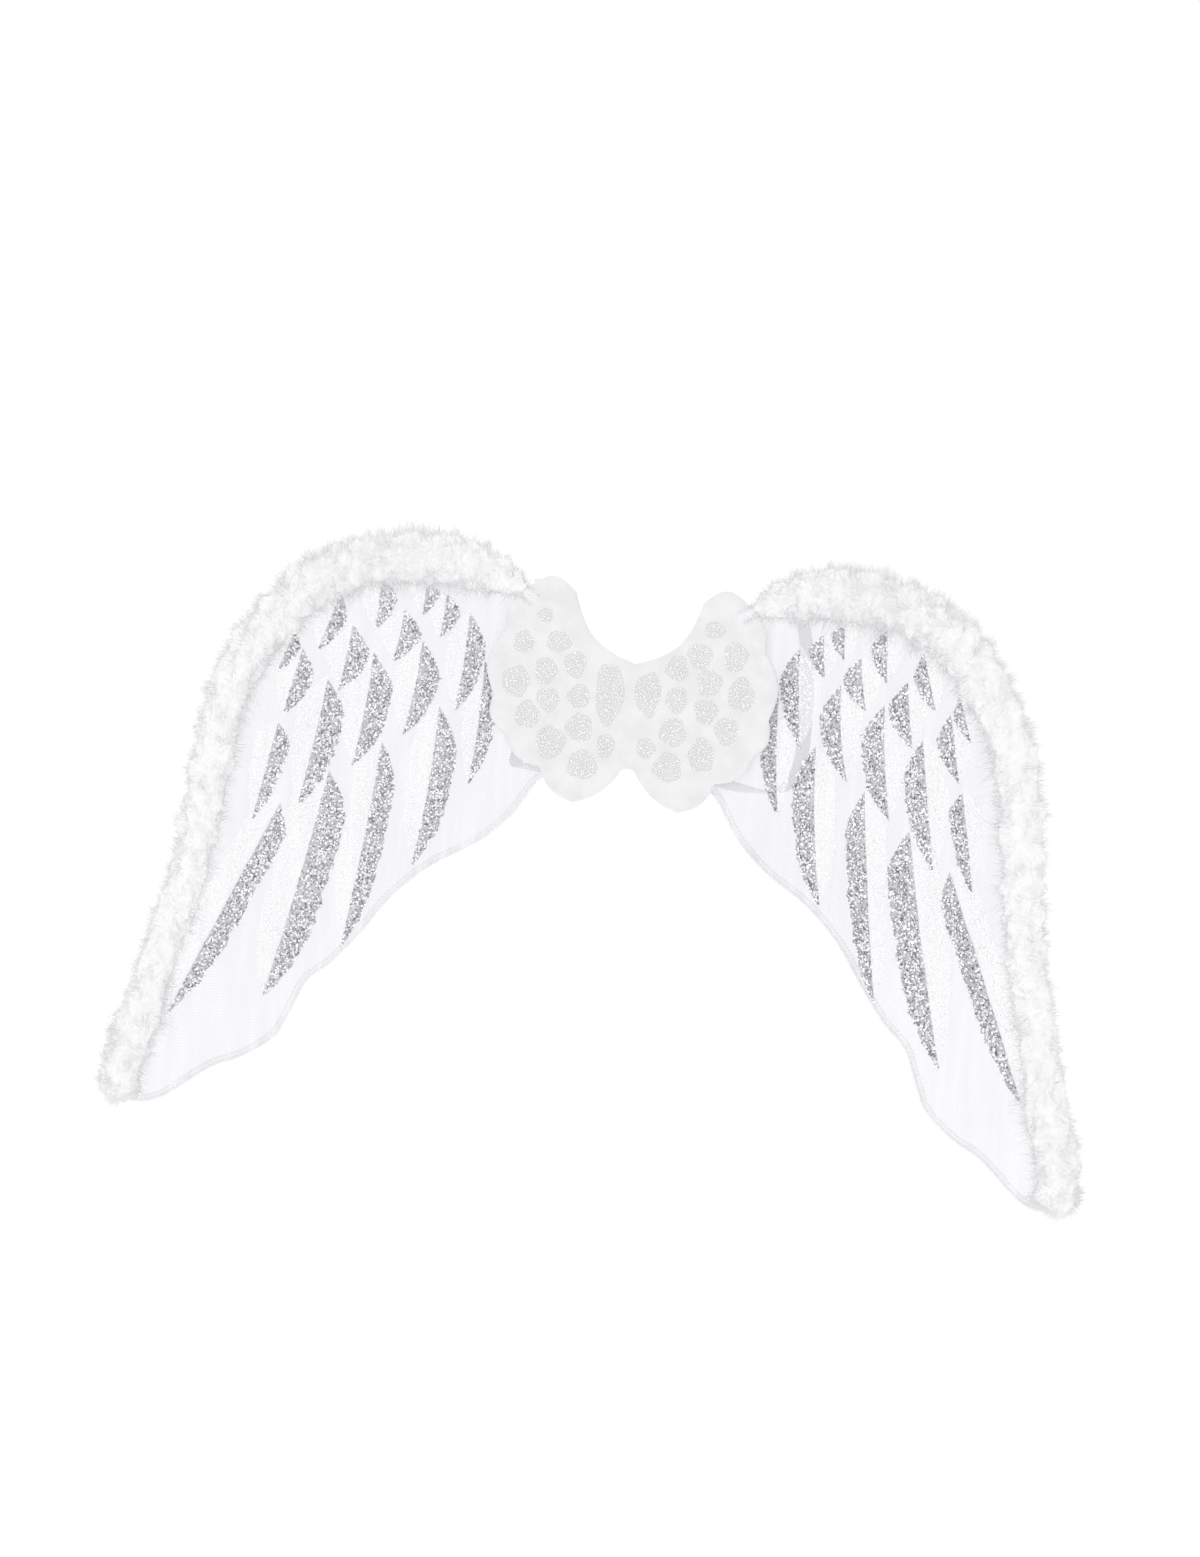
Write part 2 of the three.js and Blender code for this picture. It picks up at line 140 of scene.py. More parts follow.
# The right half of the patch's edge, as in the frame: each stretch to the next row is an arc. Out and bulge
# are shares of PATCH_HALF_WIDTH, and up is a share of PATCH_RISE or PATCH_DROP.
PATCH_EDGE = [
    # out, up, bulge
    (0, 0.385, -0.1),
    (0.434, 0.88, 0.09),
    (0.755, 0.893, 0.05),
    (0.89, 0.56, 0.08),
    (0.95, 0.07, 0.055),
    (0.86, -0.32, 0.055),
    (0.605, -0.65, 0.05),
    (0.36, -1.0, 0.035),
    (0.066, -0.67, -0.018),
    (0, -0.585, 0),
]

# The glitter spots of the patch, in mm: round ones on both lobes, and a tall drop by the middle of each.
PATCH_SPOTS = [
    # out, up, half width, half height
    (-67, 65, 6, 5),
    (-81, 45, 7.5, 8),
    (-56, 47, 9, 7.5),
    (-43, 32, 8, 9.5),
    (-64, 26, 8, 10),
    (-85, 17, 10, 11),
    (-61, 6, 8.5, 8.5),
    (-39, 10, 8, 8.5),
    (-75, -6, 9, 10),
    (-37, -12, 10, 10),
    (-57, -24, 10.5, 12),
    (-17, -23, 6.5, 9),
    (-33, -38, 11, 10.5),
    (-17, 14, 10.5, 22),
    (56, 65, 7.5, 6),
    (73, 48, 9, 10.5),
    (47, 46, 9.5, 9),
    (31, 36, 8.5, 9),
    (55, 28, 9.5, 9.5),
    (79, 22, 10, 12),
    (32, 14, 8, 9.5),
    (54, 8, 9, 9),
    (70, -4, 9, 10),
    (31, -9, 10, 10),
    (53, -23, 9.5, 12),
    (29, -34, 10.5, 10.5),
    (12, -22, 7, 7.5),
    (11, 16, 9.5, 16),
]

# The elastic's way round the right shoulder, as in the frame. Out is a share of SHOULDER_OUT, fore of
# SHOULDER_DEPTH, and up of SHOULDER_RISE or SHOULDER_DROP. Face is the way that its outer side looks.
SHOULDER_OUT = 103.0
SHOULDER_DEPTH = 112.0
SHOULDER_RISE = 84.0
SHOULDER_DROP = 50.0
BACK_GAP = 0.3
ELASTIC_ROUTE = np.array(
    [
        # out, fore, up, face
        [0.062, 0, 0.15, 0],
        [0.2, 0, 0.37, 0],
        [0.5, 0.06, 0.68, 15],
        [0.72, 0.22, 0.9, 50],
        [0.86, 0.52, 1.0, 92],
        [0.93, 0.83, 0.84, 130],
        [0.965, 1.0, 0.42, 168],
        [0.985, 0.98, -0.05, 190],
        [1.0, 0.8, -0.72, 225],
        [0.94, 0.5, -1.0, 268],
        [0.74, 0.2, -0.94, 318],
        [0.42, 0.05, -0.72, 350],
        [0.2, 0, -0.5, 360],
        [0.062, 0, -0.25, 360],
    ]
)


class WingSizes(bpy.types.PropertyGroup):
    """The frame's sizes, which the visible pieces follow."""

    reach: bpy.props.FloatProperty(
        name="Reach", description="From the join to the wing's tip, in mm", default=349.0
    )
    rise: bpy.props.FloatProperty(
        name="Rise", description="From the join to the top of the wire, in mm", default=98.0
    )
    drop: bpy.props.FloatProperty(
        name="Drop", description="From the join down to the tip, in mm", default=300.0
    )
    bend: bpy.props.FloatProperty(
        name="Bend radius", description="Radius that the wings bend back on, in mm", default=760.0
    )
    wire: bpy.props.FloatProperty(
        name="Wire diameter", description="Coated wire, in mm", default=2.0
    )
    layer: bpy.props.FloatProperty(
        name="Wire layer", description="From the wearer's back to the wire's middle, in mm", default=4.3
    )


class ClothLook(bpy.types.PropertyGroup):
    """The sheer cloth of the wings."""

    # The cloth's colour is a grey that is painted shade, standing for the shaded dress seen through the sheer
    # cloth.
    colour: bpy.props.StringProperty(
        name="Colour", description="Cloth colour, as an sRGB hex value", default="#D6D6DB"
    )
    cover: bpy.props.FloatProperty(
        name="Cover",
        description="Share of the light that the cloth stops",
        default=0.42,
        min=0,
        max=1,
        subtype="FACTOR",
    )
    thread: bpy.props.FloatProperty(
        name="Thread spacing", description="Spacing of the drawn threads, in mm", default=1.1
    )
    hem: bpy.props.FloatProperty(
        name="Hem", description="Width of the turned hem, in mm", default=4.6
    )


class MarabouLook(bpy.types.PropertyGroup):
    """The down trim along the leading edges."""

    colour: bpy.props.StringProperty(
        name="Colour", description="Colour of the wisps, as an sRGB hex value", default="#FEFEFE"
    )
    radius: bpy.props.FloatProperty(
        name="Radius", description="Largest radius of the trim, in mm", default=22.0
    )
    fuzz: bpy.props.IntProperty(
        name="Fuzz", description="Short barbs over each trim", default=40000, min=10
    )
    wisps: bpy.props.IntProperty(
        name="Wisps", description="Long barbs that stand out of each trim", default=24000, min=10
    )
    width: bpy.props.FloatProperty(
        name="Barb width", description="Width of a barb at its root, in mm", default=0.3
    )


class GlitterLook(bpy.types.PropertyGroup):
    """The glitter feathers and spots."""

    flake: bpy.props.FloatProperty(
        name="Flake", description="Width of a glitter flake, in mm", default=1.3
    )
    silver: bpy.props.StringProperty(
        name="Silver", description="Silver flakes, as an sRGB hex value", default="#D2D2D6"
    )
    pearl: bpy.props.StringProperty(
        name="Pearl", description="Pearl flakes, as an sRGB hex value", default="#FBF9FB"
    )


class HarnessLook(bpy.types.PropertyGroup):
    """The patch, the shoulder elastics and the tape over the join."""

    felt: bpy.props.StringProperty(
        name="Felt", description="Patch colour, as an sRGB hex value", default="#ECECED"
    )
    elastic: bpy.props.StringProperty(
        name="Elastic", description="Elastic colour, as an sRGB hex value", default="#F1F1F3"
    )
    tape: bpy.props.StringProperty(
        name="Tape", description="Tape colour, as an sRGB hex value", default="#EFEFEF"
    )
    elastic_width: bpy.props.FloatProperty(
        name="Elastic width", description="Width of the elastic, in mm", default=10.0
    )
    elastic_thickness: bpy.props.FloatProperty(
        name="Elastic thickness", description="Thickness of the elastic, in mm", default=1.2
    )


class StageLook(bpy.types.PropertyGroup):
    """The floor and the lights."""

    floor: bpy.props.StringProperty(
        name="Floor", description="Floor colour, as an sRGB hex value", default="#C4C4C4"
    )
    depth: bpy.props.FloatProperty(
        name="Floor depth",
        description="How far the floor lies under the join",
        default=0.62,
        unit="LENGTH",
    )
    lights: bpy.props.FloatProperty(
        name="Lights", description="Strength of the studio lights", default=1.0, min=0
    )


def look(name):
    """One of the settings groups of the open scene."""
    return getattr(bpy.context.scene, f"wings_{name}")


def linear(hex_colour):
    """An sRGB hex value as a linear colour."""
    parts = [int(hex_colour[i : i + 2], 16) / 255 for i in (1, 3, 5)]
    return [c / 12.92 if c <= 0.04045 else ((c + 0.055) / 1.055) ** 2.4 for c in parts] + [1.0]


def add(tree, kind, sockets=None, **settings):
    """A node with its settings. A socket takes a value, or the output that feeds it."""
    made = tree.nodes.new(kind)
    for name, value in settings.items():
        setattr(made, name, value)
    for socket, value in (sockets or {}).items():
        if isinstance(value, bpy.types.NodeSocket):
            tree.links.new(value, made.inputs[socket])
        else:
            made.inputs[socket].default_value = value
    return made


def blank(name):
    """A new material with its node tree, its output and where its surface is, in mm."""
    material = bpy.data.materials.new(name)
    material.use_nodes = True
    tree = material.node_tree
    tree.nodes.clear()
    output = add(tree, "ShaderNodeOutputMaterial")
    place = add(tree, "ShaderNodeTexCoord").outputs["Object"]
    scaled = add(tree, "ShaderNodeVectorMath", {0: place, 1: (1000, 1000, 1000)}, operation="MULTIPLY")
    return material, tree, output, scaled.outputs[0]


# Bleached marabou down, washed and air-dried: dull white, soft, with clumps that are a little greyer
# where the barbs stick together.
def down_material(name, low, high):
    material, tree, output, place = blank(name)
    passed_on = 0.2
    clumps = add(tree, "ShaderNodeTexNoise", {"Vector": place, "Scale": 1 / 11, "Detail": 3})
    share = add(tree, "ShaderNodeMapRange", {0: clumps.outputs[0], 1: 0.35, 2: 0.62})
    mix = add(tree, "ShaderNodeMix", {0: share.outputs[0], 6: linear(low), 7: linear(high)}, data_type="RGBA")
    colour = mix.outputs[2]
    front = add(
        tree,
        "ShaderNodeBsdfPrincipled",
        {"Base Color": colour, "Roughness": 0.9, "Specular IOR Level": 0.2, "Sheen Weight": 0.2},
    )
    through = add(tree, "ShaderNodeBsdfTranslucent", {"Color": colour})
    surface = add(tree, "ShaderNodeMixShader", {0: passed_on, 1: front.outputs[0], 2: through.outputs[0]})
    tree.links.new(surface.outputs[0], output.inputs[0])
    return material


# The same down where it lies pressed together over the string: closed, and downy all over. The barbs there
# are 0.02 mm thick and are drawn as a 0.9 mm tangle, so that they show.
def packed_down_material(name, low, high):
    material, tree, output, place = blank(name)
    clumps = add(tree, "ShaderNodeTexNoise", {"Vector": place, "Scale": 1 / 8, "Detail": 3})
    tangle = add(
        tree, "ShaderNodeTexNoise", {"Vector": place, "Scale": 1 / 0.9, "Detail": 3, "Distortion": 2.0}
    )
    bump = add(tree, "ShaderNodeBump", {"Height": tangle.outputs[0], "Strength": 0.5, "Distance": 0.0006})
    shade = add(
        tree,
        "ShaderNodeMix",
        {0: clumps.outputs[0], 6: linear(low), 7: linear(high)},
        data_type="RGBA",
    )
    surface = add(
        tree,
        "ShaderNodeBsdfPrincipled",
        {
            "Base Color": shade.outputs[2],
            "Roughness": 0.95,
            "Specular IOR Level": 0.15,
            "Sheen Weight": 0.3,
            "Normal": bump.outputs[0],
        },
    )
    tree.links.new(surface.outputs[0], output.inputs[0])
    return material


# Nylon organza, woven from fine clear thread and heat-set: sheer, with a faint grid of threads and
# slightly closer patches. The real threads are 0.25 mm apart and are drawn coarser, so that they show.
# The grey of the cloth, darker still in long upright streaks, is painted shade: it stands for the shaded
# dress seen through the sheer cloth.
def organza_material(name, cover):
    material, tree, output, place = blank(name)
    cloth = look("cloth")
    turns = 2 * math.pi / cloth.thread
    parts = add(tree, "ShaderNodeSeparateXYZ", {0: place})
    threads = []
    for axis in (0, 2):
        turned = add(tree, "ShaderNodeMath", {0: parts.outputs[axis], 1: turns}, operation="MULTIPLY")
        wave = add(tree, "ShaderNodeMath", {0: turned.outputs[0]}, operation="SINE")
        threads.append(wave.outputs[0])
    grid = add(tree, "ShaderNodeMath", {0: threads[0], 1: threads[1]}, operation="MAXIMUM")
    stretched = add(
        tree, "ShaderNodeVectorMath", {0: place, 1: (1 / 7, 1 / 7, 1 / 70)}, operation="MULTIPLY"
    )
    streaks = add(
        tree, "ShaderNodeTexNoise", {"Vector": stretched.outputs[0], "Scale": 1.0, "Detail": 3}
    )
    woven = add(tree, "ShaderNodeMapRange", {0: grid.outputs[0], 1: -1, 2: 1, 3: -0.1, 4: 0.07})
    folds = add(tree, "ShaderNodeMapRange", {0: streaks.outputs[0], 1: 0.3, 2: 0.7, 3: -0.07, 4: 0.09})
    both = add(tree, "ShaderNodeMath", {0: woven.outputs[0], 1: folds.outputs[0]}, operation="ADD")
    alpha = add(
        tree, "ShaderNodeMath", {0: both.outputs[0], 1: cover}, operation="ADD", use_clamp=True
    )
    # Painted shade: the cloth's grey, mixed with a darker grey in long upright streaks.
    shade = add(
        tree,
        "ShaderNodeMix",
        {0: streaks.outputs[0], 6: linear("#C9CACF"), 7: linear(cloth.colour)},
        data_type="RGBA",
    )
    surface = add(
        tree,
        "ShaderNodeBsdfPrincipled",
        {
            "Base Color": shade.outputs[2],
            "Roughness": 0.5,
            "Sheen Weight": 0.2,
            "Alpha": alpha.outputs[0],
        },
    )
    tree.links.new(surface.outputs[0], output.inputs[0])
    return material


# Cut polyester film, metallised and stuck on in clear glue: each flake is flat, tilted its own way, and
# hardly rough. The colour drifts a little from flake to flake. Some brightness and darkness comes from the
# way that each flake lies; the dark silver flakes are also painted with a dark reflection, and the brighter
# flakes are painted glints.
def flake_material(name, low, high, metal, rough):
    material, tree, output, place = blank(name)
    cells = add(tree, "ShaderNodeTexNoise", {"Vector": place, "Scale": 1.4, "Detail": 1})
    shade = add(
        tree,
        "ShaderNodeMix",
        {0: cells.outputs[0], 6: linear(low), 7: linear(high)},
        data_type="RGBA",
    )
    surface = add(
        tree,
        "ShaderNodeBsdfPrincipled",
        {
            "Base Color": shade.outputs[2],
            "Metallic": metal,
            "Roughness": rough,
        },
    )
    tree.links.new(surface.outputs[0], output.inputs[0])
    return material


# Glue filled with fine glitter dust, screen printed on the cloth: grainy, half shiny, and a little uneven
# in cover towards its edges.
def glue_material(name, low, high, metal, cover):
    material, tree, output, place = blank(name)
    grain = add(tree, "ShaderNodeTexVoronoi", {"Vector": place, "Scale": 1 / 0.8})
    share = add(tree, "ShaderNodeSeparateColor", {0: grain.outputs["Color"]})
    patches = add(tree, "ShaderNodeTexNoise", {"Vector": place, "Scale": 1 / 2.5, "Detail": 2})
    alpha = add(
        tree,
        "ShaderNodeMapRange",
        {0: patches.outputs[0], 1: 0.3, 2: 0.5, 3: cover * 0.75, 4: min(1.0, cover * 1.1)},
    )
    shade = add(
        tree,
        "ShaderNodeMix",
        {0: share.outputs[0], 6: linear(low), 7: linear(high)},
        data_type="RGBA",
    )
    surface = add(
        tree,
        "ShaderNodeBsdfPrincipled",
        {
            "Base Color": shade.outputs[2],
            "Metallic": metal,
            "Roughness": 0.45,
            "Alpha": alpha.outputs[0],
        },
    )
    tree.links.new(surface.outputs[0], output.inputs[0])
    return material


# Needled polyester felt: matt, with short fibres that lie every way. The fibres are 0.02 mm thick and
# are drawn as a 0.7 mm tangle, so that they show.
def felt_material(name, low, high):
    material, tree, output, place = blank(name)
    tangle = add(
        tree, "ShaderNodeTexNoise", {"Vector": place, "Scale": 1 / 0.7, "Detail": 4, "Distortion": 1.5}
    )
    pressed = add(tree, "ShaderNodeTexNoise", {"Vector": place, "Scale": 1 / 14, "Detail": 2})
    share = add(tree, "ShaderNodeMapRange", {0: pressed.outputs[0], 1: 0.35, 2: 0.65})
    bump = add(
        tree, "ShaderNodeBump", {"Height": tangle.outputs[0], "Strength": 0.35, "Distance": 0.0005}
    )
    shade = add(
        tree,
        "ShaderNodeMix",
        {0: share.outputs[0], 6: linear(low), 7: linear(high)},
        data_type="RGBA",
    )
    surface = add(
        tree,
        "ShaderNodeBsdfPrincipled",
        {
            "Base Color": shade.outputs[2],
            "Roughness": 0.95,
            "Specular IOR Level": 0.25,
            "Sheen Weight": 0.3,
            "Normal": bump.outputs[0],
        },
    )
    tree.links.new(surface.outputs[0], output.inputs[0])
    return material


# Woven elastic and tape, and twisted thread: matt yarns with a cross rib, every so many mm.
def ribbed_material(name, low, high, rib):
    material, tree, output, place = blank(name)
    ribs = add(
        tree,
        "ShaderNodeTexWave",
        {"Vector": place, "Scale": 2 / rib / 20 * math.pi, "Distortion": 0.6, "Detail": 2},
        bands_direction="DIAGONAL",
    )
    worn = add(tree, "ShaderNodeTexNoise", {"Vector": place, "Scale": 1 / 9, "Detail": 2})
    bump = add(tree, "ShaderNodeBump", {"Height": ribs.outputs[1], "Strength": 0.4, "Distance": 0.0004})
    shade = add(
        tree,
        "ShaderNodeMix",
        {0: worn.outputs[0], 6: linear(low), 7: linear(high)},
        data_type="RGBA",
    )
    surface = add(
        tree,
        "ShaderNodeBsdfPrincipled",
        {
            "Base Color": shade.outputs[2],
            "Roughness": 0.75,
            "Sheen Weight": 0.15,
            "Normal": bump.outputs[0],
        },
    )
    tree.links.new(surface.outputs[0], output.inputs[0])
    return material


# Steel wire in an extruded white PVC coat: smooth and half shiny, with small bending marks.
def coated_wire_material(name):
    material, tree, output, place = blank(name)
    marks = add(tree, "ShaderNodeTexNoise", {"Vector": place, "Scale": 1 / 5, "Detail": 3})
    rough = add(tree, "ShaderNodeMapRange", {0: marks.outputs[0], 1: 0.3, 2: 0.7, 3: 0.32, 4: 0.5})
    shade = add(
        tree,
        "ShaderNodeMix",
        {0: marks.outputs[0], 6: linear("#F1F1F2"), 7: linear("#FAFAFB")},
        data_type="RGBA",
    )
    surface = add(
        tree,
        "ShaderNodeBsdfPrincipled",
        {
            "Base Color": shade.outputs[2],
            "Roughness": rough.outputs[0],
            "IOR": 1.53,
        },
    )
    tree.links.new(surface.outputs[0], output.inputs[0])
    return material


# Matt seamless paper for the floor, with a faint tooth. It gives off some light, as a sheet lit from below
# does, so that it looks white.
def paper_material(name, colour):
    material, tree, output, place = blank(name)
    tooth = add(tree, "ShaderNodeTexNoise", {"Vector": place, "Scale": 1 / 60, "Detail": 2})
    shade = add(
        tree,
        "ShaderNodeMix",
        {0: tooth.outputs[0], 6: linear(colour), 7: linear("#C8C8C8")},
        data_type="RGBA",
    )
    surface = add(
        tree,
        "ShaderNodeBsdfPrincipled",
        {
            "Base Color": shade.outputs[2],
            "Roughness": 0.9,
            "Emission Color": linear("#FFFFFF"),
            "Emission Strength": 0.54,
        },
    )
    tree.links.new(surface.outputs[0], output.inputs[0])
    return material


def laid(out, up, layer, side=1):
    """Flat places at their layers, laid on the wings' cylinder. Millimetres in, metres out."""
    bend = look("sizes").bend
    out, up, layer = np.broadcast_arrays(out, up, layer)
    turn = out / bend
    radius = bend - layer
    places = [side * radius * np.sin(turn), radius * np.cos(turn) - bend, up]
    return np.stack(places, axis=-1) * MM


def piece(name, places, faces, materials, kinds=None, smooth=True, solid=False):
    """A mesh object from numpy arrays: faces is a list of index arrays, and kinds their materials.

    A solid piece has its faces turned out.
    """
    mesh = bpy.data.meshes.new(name)
    lists = [row for group in faces for row in group.tolist()]
    mesh.from_pydata(places.reshape(-1, 3).tolist(), [], lists)
    for material in materials:
        mesh.materials.append(material)
    if kinds is not None:
        slots = np.concatenate([np.broadcast_to(kind, len(group)) for kind, group in zip(kinds, faces)])
        mesh.polygons.foreach_set("material_index", slots.astype(np.int32))
    if solid:
        body = bmesh.new()
        body.from_mesh(mesh)
        bmesh.ops.recalc_face_normals(body, faces=body.faces)
        body.to_mesh(mesh)
        body.free()
    if smooth:
        mesh.shade_smooth()
    mesh.update()
    made = bpy.data.objects.new(name, mesh)
    bpy.context.scene.collection.objects.link(made)
    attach(made, BODY)
    return made


def quads(rows, columns, around=False, looped=False):
    """The faces of a grid of places, rows by columns, closed across its columns or along its rows."""
    here = np.arange(rows * columns).reshape(rows, columns)
    if around:
        here = np.concatenate([here, here[:, :1]], axis=1)
    if looped:
        here = np.concatenate([here, here[:1]], axis=0)
    corners = [here[:-1, :-1], here[:-1, 1:], here[1:, 1:], here[1:, :-1]]
    return np.stack(corners, axis=-1).reshape(-1, 4)


def smooth_route(points, closed):
    """A function that gives the places of a centripetal curve at shares of its rows, as the frame has it."""
    points = np.asarray(points, float)
    count = len(points)

    def at(share):
        share = np.atleast_1d(np.asarray(share, float))
        spans = count if closed else count - 1
        row = np.minimum(np.floor(share * spans + 1e-9).astype(int), spans - 1)
        part = (share * spans - row)[:, None]
        if closed:
            p = [points[(row + k) % count] for k in (-1, 0, 1, 2)]
        else:
            before = np.vstack([2 * points[0] - points[1], points, 2 * points[-1] - points[-2]])
            p = [before[row + k] for k in (0, 1, 2, 3)]
        gaps = [np.sqrt(np.linalg.norm(p[k + 1] - p[k], axis=1))[:, None] for k in range(3)]
        start = (p[1] - p[0]) / gaps[0] - (p[2] - p[0]) / (gaps[0] + gaps[1]) + (p[2] - p[1]) / gaps[1]
        end = (p[2] - p[1]) / gaps[1] - (p[3] - p[1]) / (gaps[1] + gaps[2]) + (p[3] - p[2]) / gaps[2]
        start, end = start * gaps[1], end * gaps[1]
        cubic = 2 * p[1] - 2 * p[2] + start + end
        square = -3 * p[1] + 3 * p[2] - 2 * start - end
        return p[1] + start * part + square * part**2 + cubic * part**3

    return at


def directions(at, share, step=1e-4):
    """The unit directions of a route at shares of it."""
    along = at(np.clip(share + step, 0, 1)) - at(np.clip(share - step, 0, 1))
    return along / np.linalg.norm(along, axis=1)[:, None]


def wire_route():
    """The wire's closed way round the right wing, in mm, out along the leading edge and back below."""
    sizes = look("sizes")

    def height(share):
        return np.where(share >= 0, share * sizes.rise, share * sizes.drop)

    lead = np.stack([RIBS[:, 0] * sizes.reach, height(RIBS[:, 1])], axis=1)
    trail = np.stack([RIBS[:, 2] * sizes.reach, height(RIBS[:, 3])], axis=1)
    return smooth_route(np.vstack([lead, trail[::-1]]), closed=True)


def on_lead(rib):
    """The wire route's share at a rib's leading edge."""
    return rib / (2 * len(RIBS))


def on_trail(rib):
    """The wire route's share at a rib's trailing edge."""
    return (2 * len(RIBS) - 1 - rib) / (2 * len(RIBS))


def inward(at, share, inset):
    """Places on the route, moved into the wing by inset."""
    along = directions(at, share)
    return at(share) + inset * np.stack([along[:, 1], -along[:, 0]], axis=1)


def ripple(out, up):
    """How far the stretched cloth stands off its own layer, in mm: shallow folds that fan down the wing."""
    lean = out - 0.18 * (up - 40)
    return 0.34 * np.sin(lean / 4.9) + 0.2 * np.sin(lean / 2.3 + up / 37)


def net_piece(side_name, side):
    """The sheer cloth inside the wire, as one rippled sheet."""
    at = wire_route()
    layer = look("sizes").layer
    steps, depth = 150, 44
    inset, first_inset = 1.0, 2.2
    ribs = np.linspace(FIRST_CLOTH_RIB, LAST_RIB, steps)
    lead = inward(at, on_lead(ribs), inset)
    trail = inward(at, on_trail(ribs), inset)
    lead[0, 0] = trail[0, 0] = lead[0, 0] + first_inset
    rows = np.linspace(0, 1, depth)[None, :, None]
    flat = lead[:, None] * (1 - rows) + trail[:, None] * rows
    out, up = flat[..., 0], flat[..., 1]
    places = laid(out, up, layer + ripple(out, up), side)
    area = cut_area(np.vstack([lead, trail[::-1]]))
    material = organza_material(f"nylon_organza_{side_name}", look("cloth").cover)
    net = piece(f"wing_net_{side_name}", places, [quads(steps, depth)], [material])
    return net, area, np.ptp(out), np.ptp(up)


def run_length(places):
    """How far along a line of places each one lies."""
    return np.concatenate([[0], np.cumsum(np.linalg.norm(np.diff(places, axis=0), axis=1))])


def cut_area(outline):
    """The area of a flat outline."""
    x, y = outline[:, 0], outline[:, 1]
    return 0.5 * abs(np.dot(x, np.roll(y, -1)) - np.dot(y, np.roll(x, -1)))


def tube(at, shares, radius, sides, layer, side):
    """Rings of a tube along a flat route at a layer."""
    along = directions(at, shares)
    middle = at(shares)
    turn = 2 * np.pi * (np.arange(sides) + 0.5) / sides
    radius = np.broadcast_to(radius, shares.shape)[:, None]
    in_plane = radius * np.cos(turn)[None, :]
    out = middle[:, 0:1] + along[:, 1:2] * in_plane
    up = middle[:, 1:2] - along[:, 0:1] * in_plane
    return laid(out, up, layer + radius * np.sin(turn)[None, :], side)


def hem_piece(side_name, side):
    """The cloth's edge, turned over the wire and stitched down: a puckered tube and a flap behind it."""
    at = wire_route()
    sizes, cloth = look("sizes"), look("cloth")
    steps, sides, depth = 900, 10, 5
    cloth_round_wire = 0.14
    shares = np.linspace(on_lead(1.6), on_trail(1.6), steps)
    length = run_length(at(shares))
    pucker = 0.1 * np.sin(length * 2 * np.pi / 5.1) + 0.06 * np.sin(length * 2 * np.pi / 13.7)
    rings = tube(at, shares, sizes.wire / 2 + cloth_round_wire + 0.4 * pucker, sides, sizes.layer, side)
    faces = [quads(steps, sides, around=True)]
    rows = np.linspace(0.9, cloth.hem, depth)
    flap = np.stack([inward(at, shares, row) for row in rows], axis=1)
    pulled = ripple(flap[..., 0], flap[..., 1]) - 0.3 + 0.5 * pucker[:, None]
    flap = laid(flap[..., 0], flap[..., 1], sizes.layer + pulled, side)
    faces.append(quads(steps, depth) + steps * sides)
    places = np.vstack([rings.reshape(-1, 3), flap.reshape(-1, 3)])
    material = organza_material(f"nylon_organza_double_{side_name}", 0.3 * cloth.cover)
    return piece(f"wing_hem_{side_name}", places, faces, [material])


def stitches_piece(side_name, side):
    """The running stitch that holds the hem, on both faces of the cloth."""
    at = wire_route()
    sizes, cloth = look("sizes"), look("cloth")
    fine = np.linspace(on_lead(1.7), on_trail(1.7), 4000)
    length = run_length(at(fine))
    pitch, stitch, from_edge = 2.9, 1.9, 0.7
    rings, sides = 4, 4
    starts = np.arange(1, length[-1] - 3, pitch)
    ends = np.interp(starts[:, None] + np.linspace(0, stitch, rings)[None, :], length, fine)
    turn = 2 * np.pi * np.arange(sides) / sides
    radius = np.array([0.01, 0.12, 0.12, 0.01])[None, :, None]
    groups, faces = [], []
    for face in (1, -1):
        lift = np.array([0.05, 0.3, 0.3, 0.05])[None, :, None] * face
        middle = inward(at, ends.ravel(), cloth.hem - from_edge).reshape(len(starts), rings, 2)
        along = directions(at, ends.ravel()).reshape(len(starts), rings, 2)
        across = radius * np.cos(turn)[None, None, :]
        out = middle[..., 0:1] + along[..., 1:2] * across
        up = middle[..., 1:2] - along[..., 0:1] * across
        layer = sizes.layer + ripple(out, up) + lift + radius * np.sin(turn)[None, None, :]
        base = sum(len(group) for group in groups)
        groups.append(laid(out, up, layer, side).reshape(-1, 3))
        ring = quads(rings, sides, around=True)[None] + rings * sides * np.arange(len(starts))[:, None, None]
        faces.append(ring.reshape(-1, 4) + base)
    material = ribbed_material(f"polyester_thread_{side_name}", "#E6E6EA", "#F2F2F5", 0.5)
    return piece(f"hem_stitches_{side_name}", np.vstack(groups), faces, [material])


def feather_outline(feather):
    """The shares along a feather, its vein, its outward side and the silver half's width, in mm."""
    root, tip = np.array(feather[0:2], float), np.array(feather[2:4], float)
    width, shoulder, bow = feather[4:]
    share = np.linspace(0, 1, FEATHER_STEPS)
    along = tip - root
    length = np.linalg.norm(along)
    along = along / length
    outer = np.array([-along[1], along[0]])
    curve = bow * length * (1 - 4 * (share - 0.5) ** 2)
    vein = root + along * length * share[:, None] - outer * curve[:, None]
    rise = 1 - (1 - np.clip(share / shoulder, 0, 1)) ** 1.6
    profile = rise * (1 - share ** (2.2 + length / 45))
    return share, vein, outer, width * profile


def half_feather(vein, outer, width, rows):
    """A grid over one half of a feather, from the vein to its far edge."""
    across = np.linspace(0, 1, rows)[None, :, None]
    return vein[:, None] + outer * (width[:, None, None] * across)


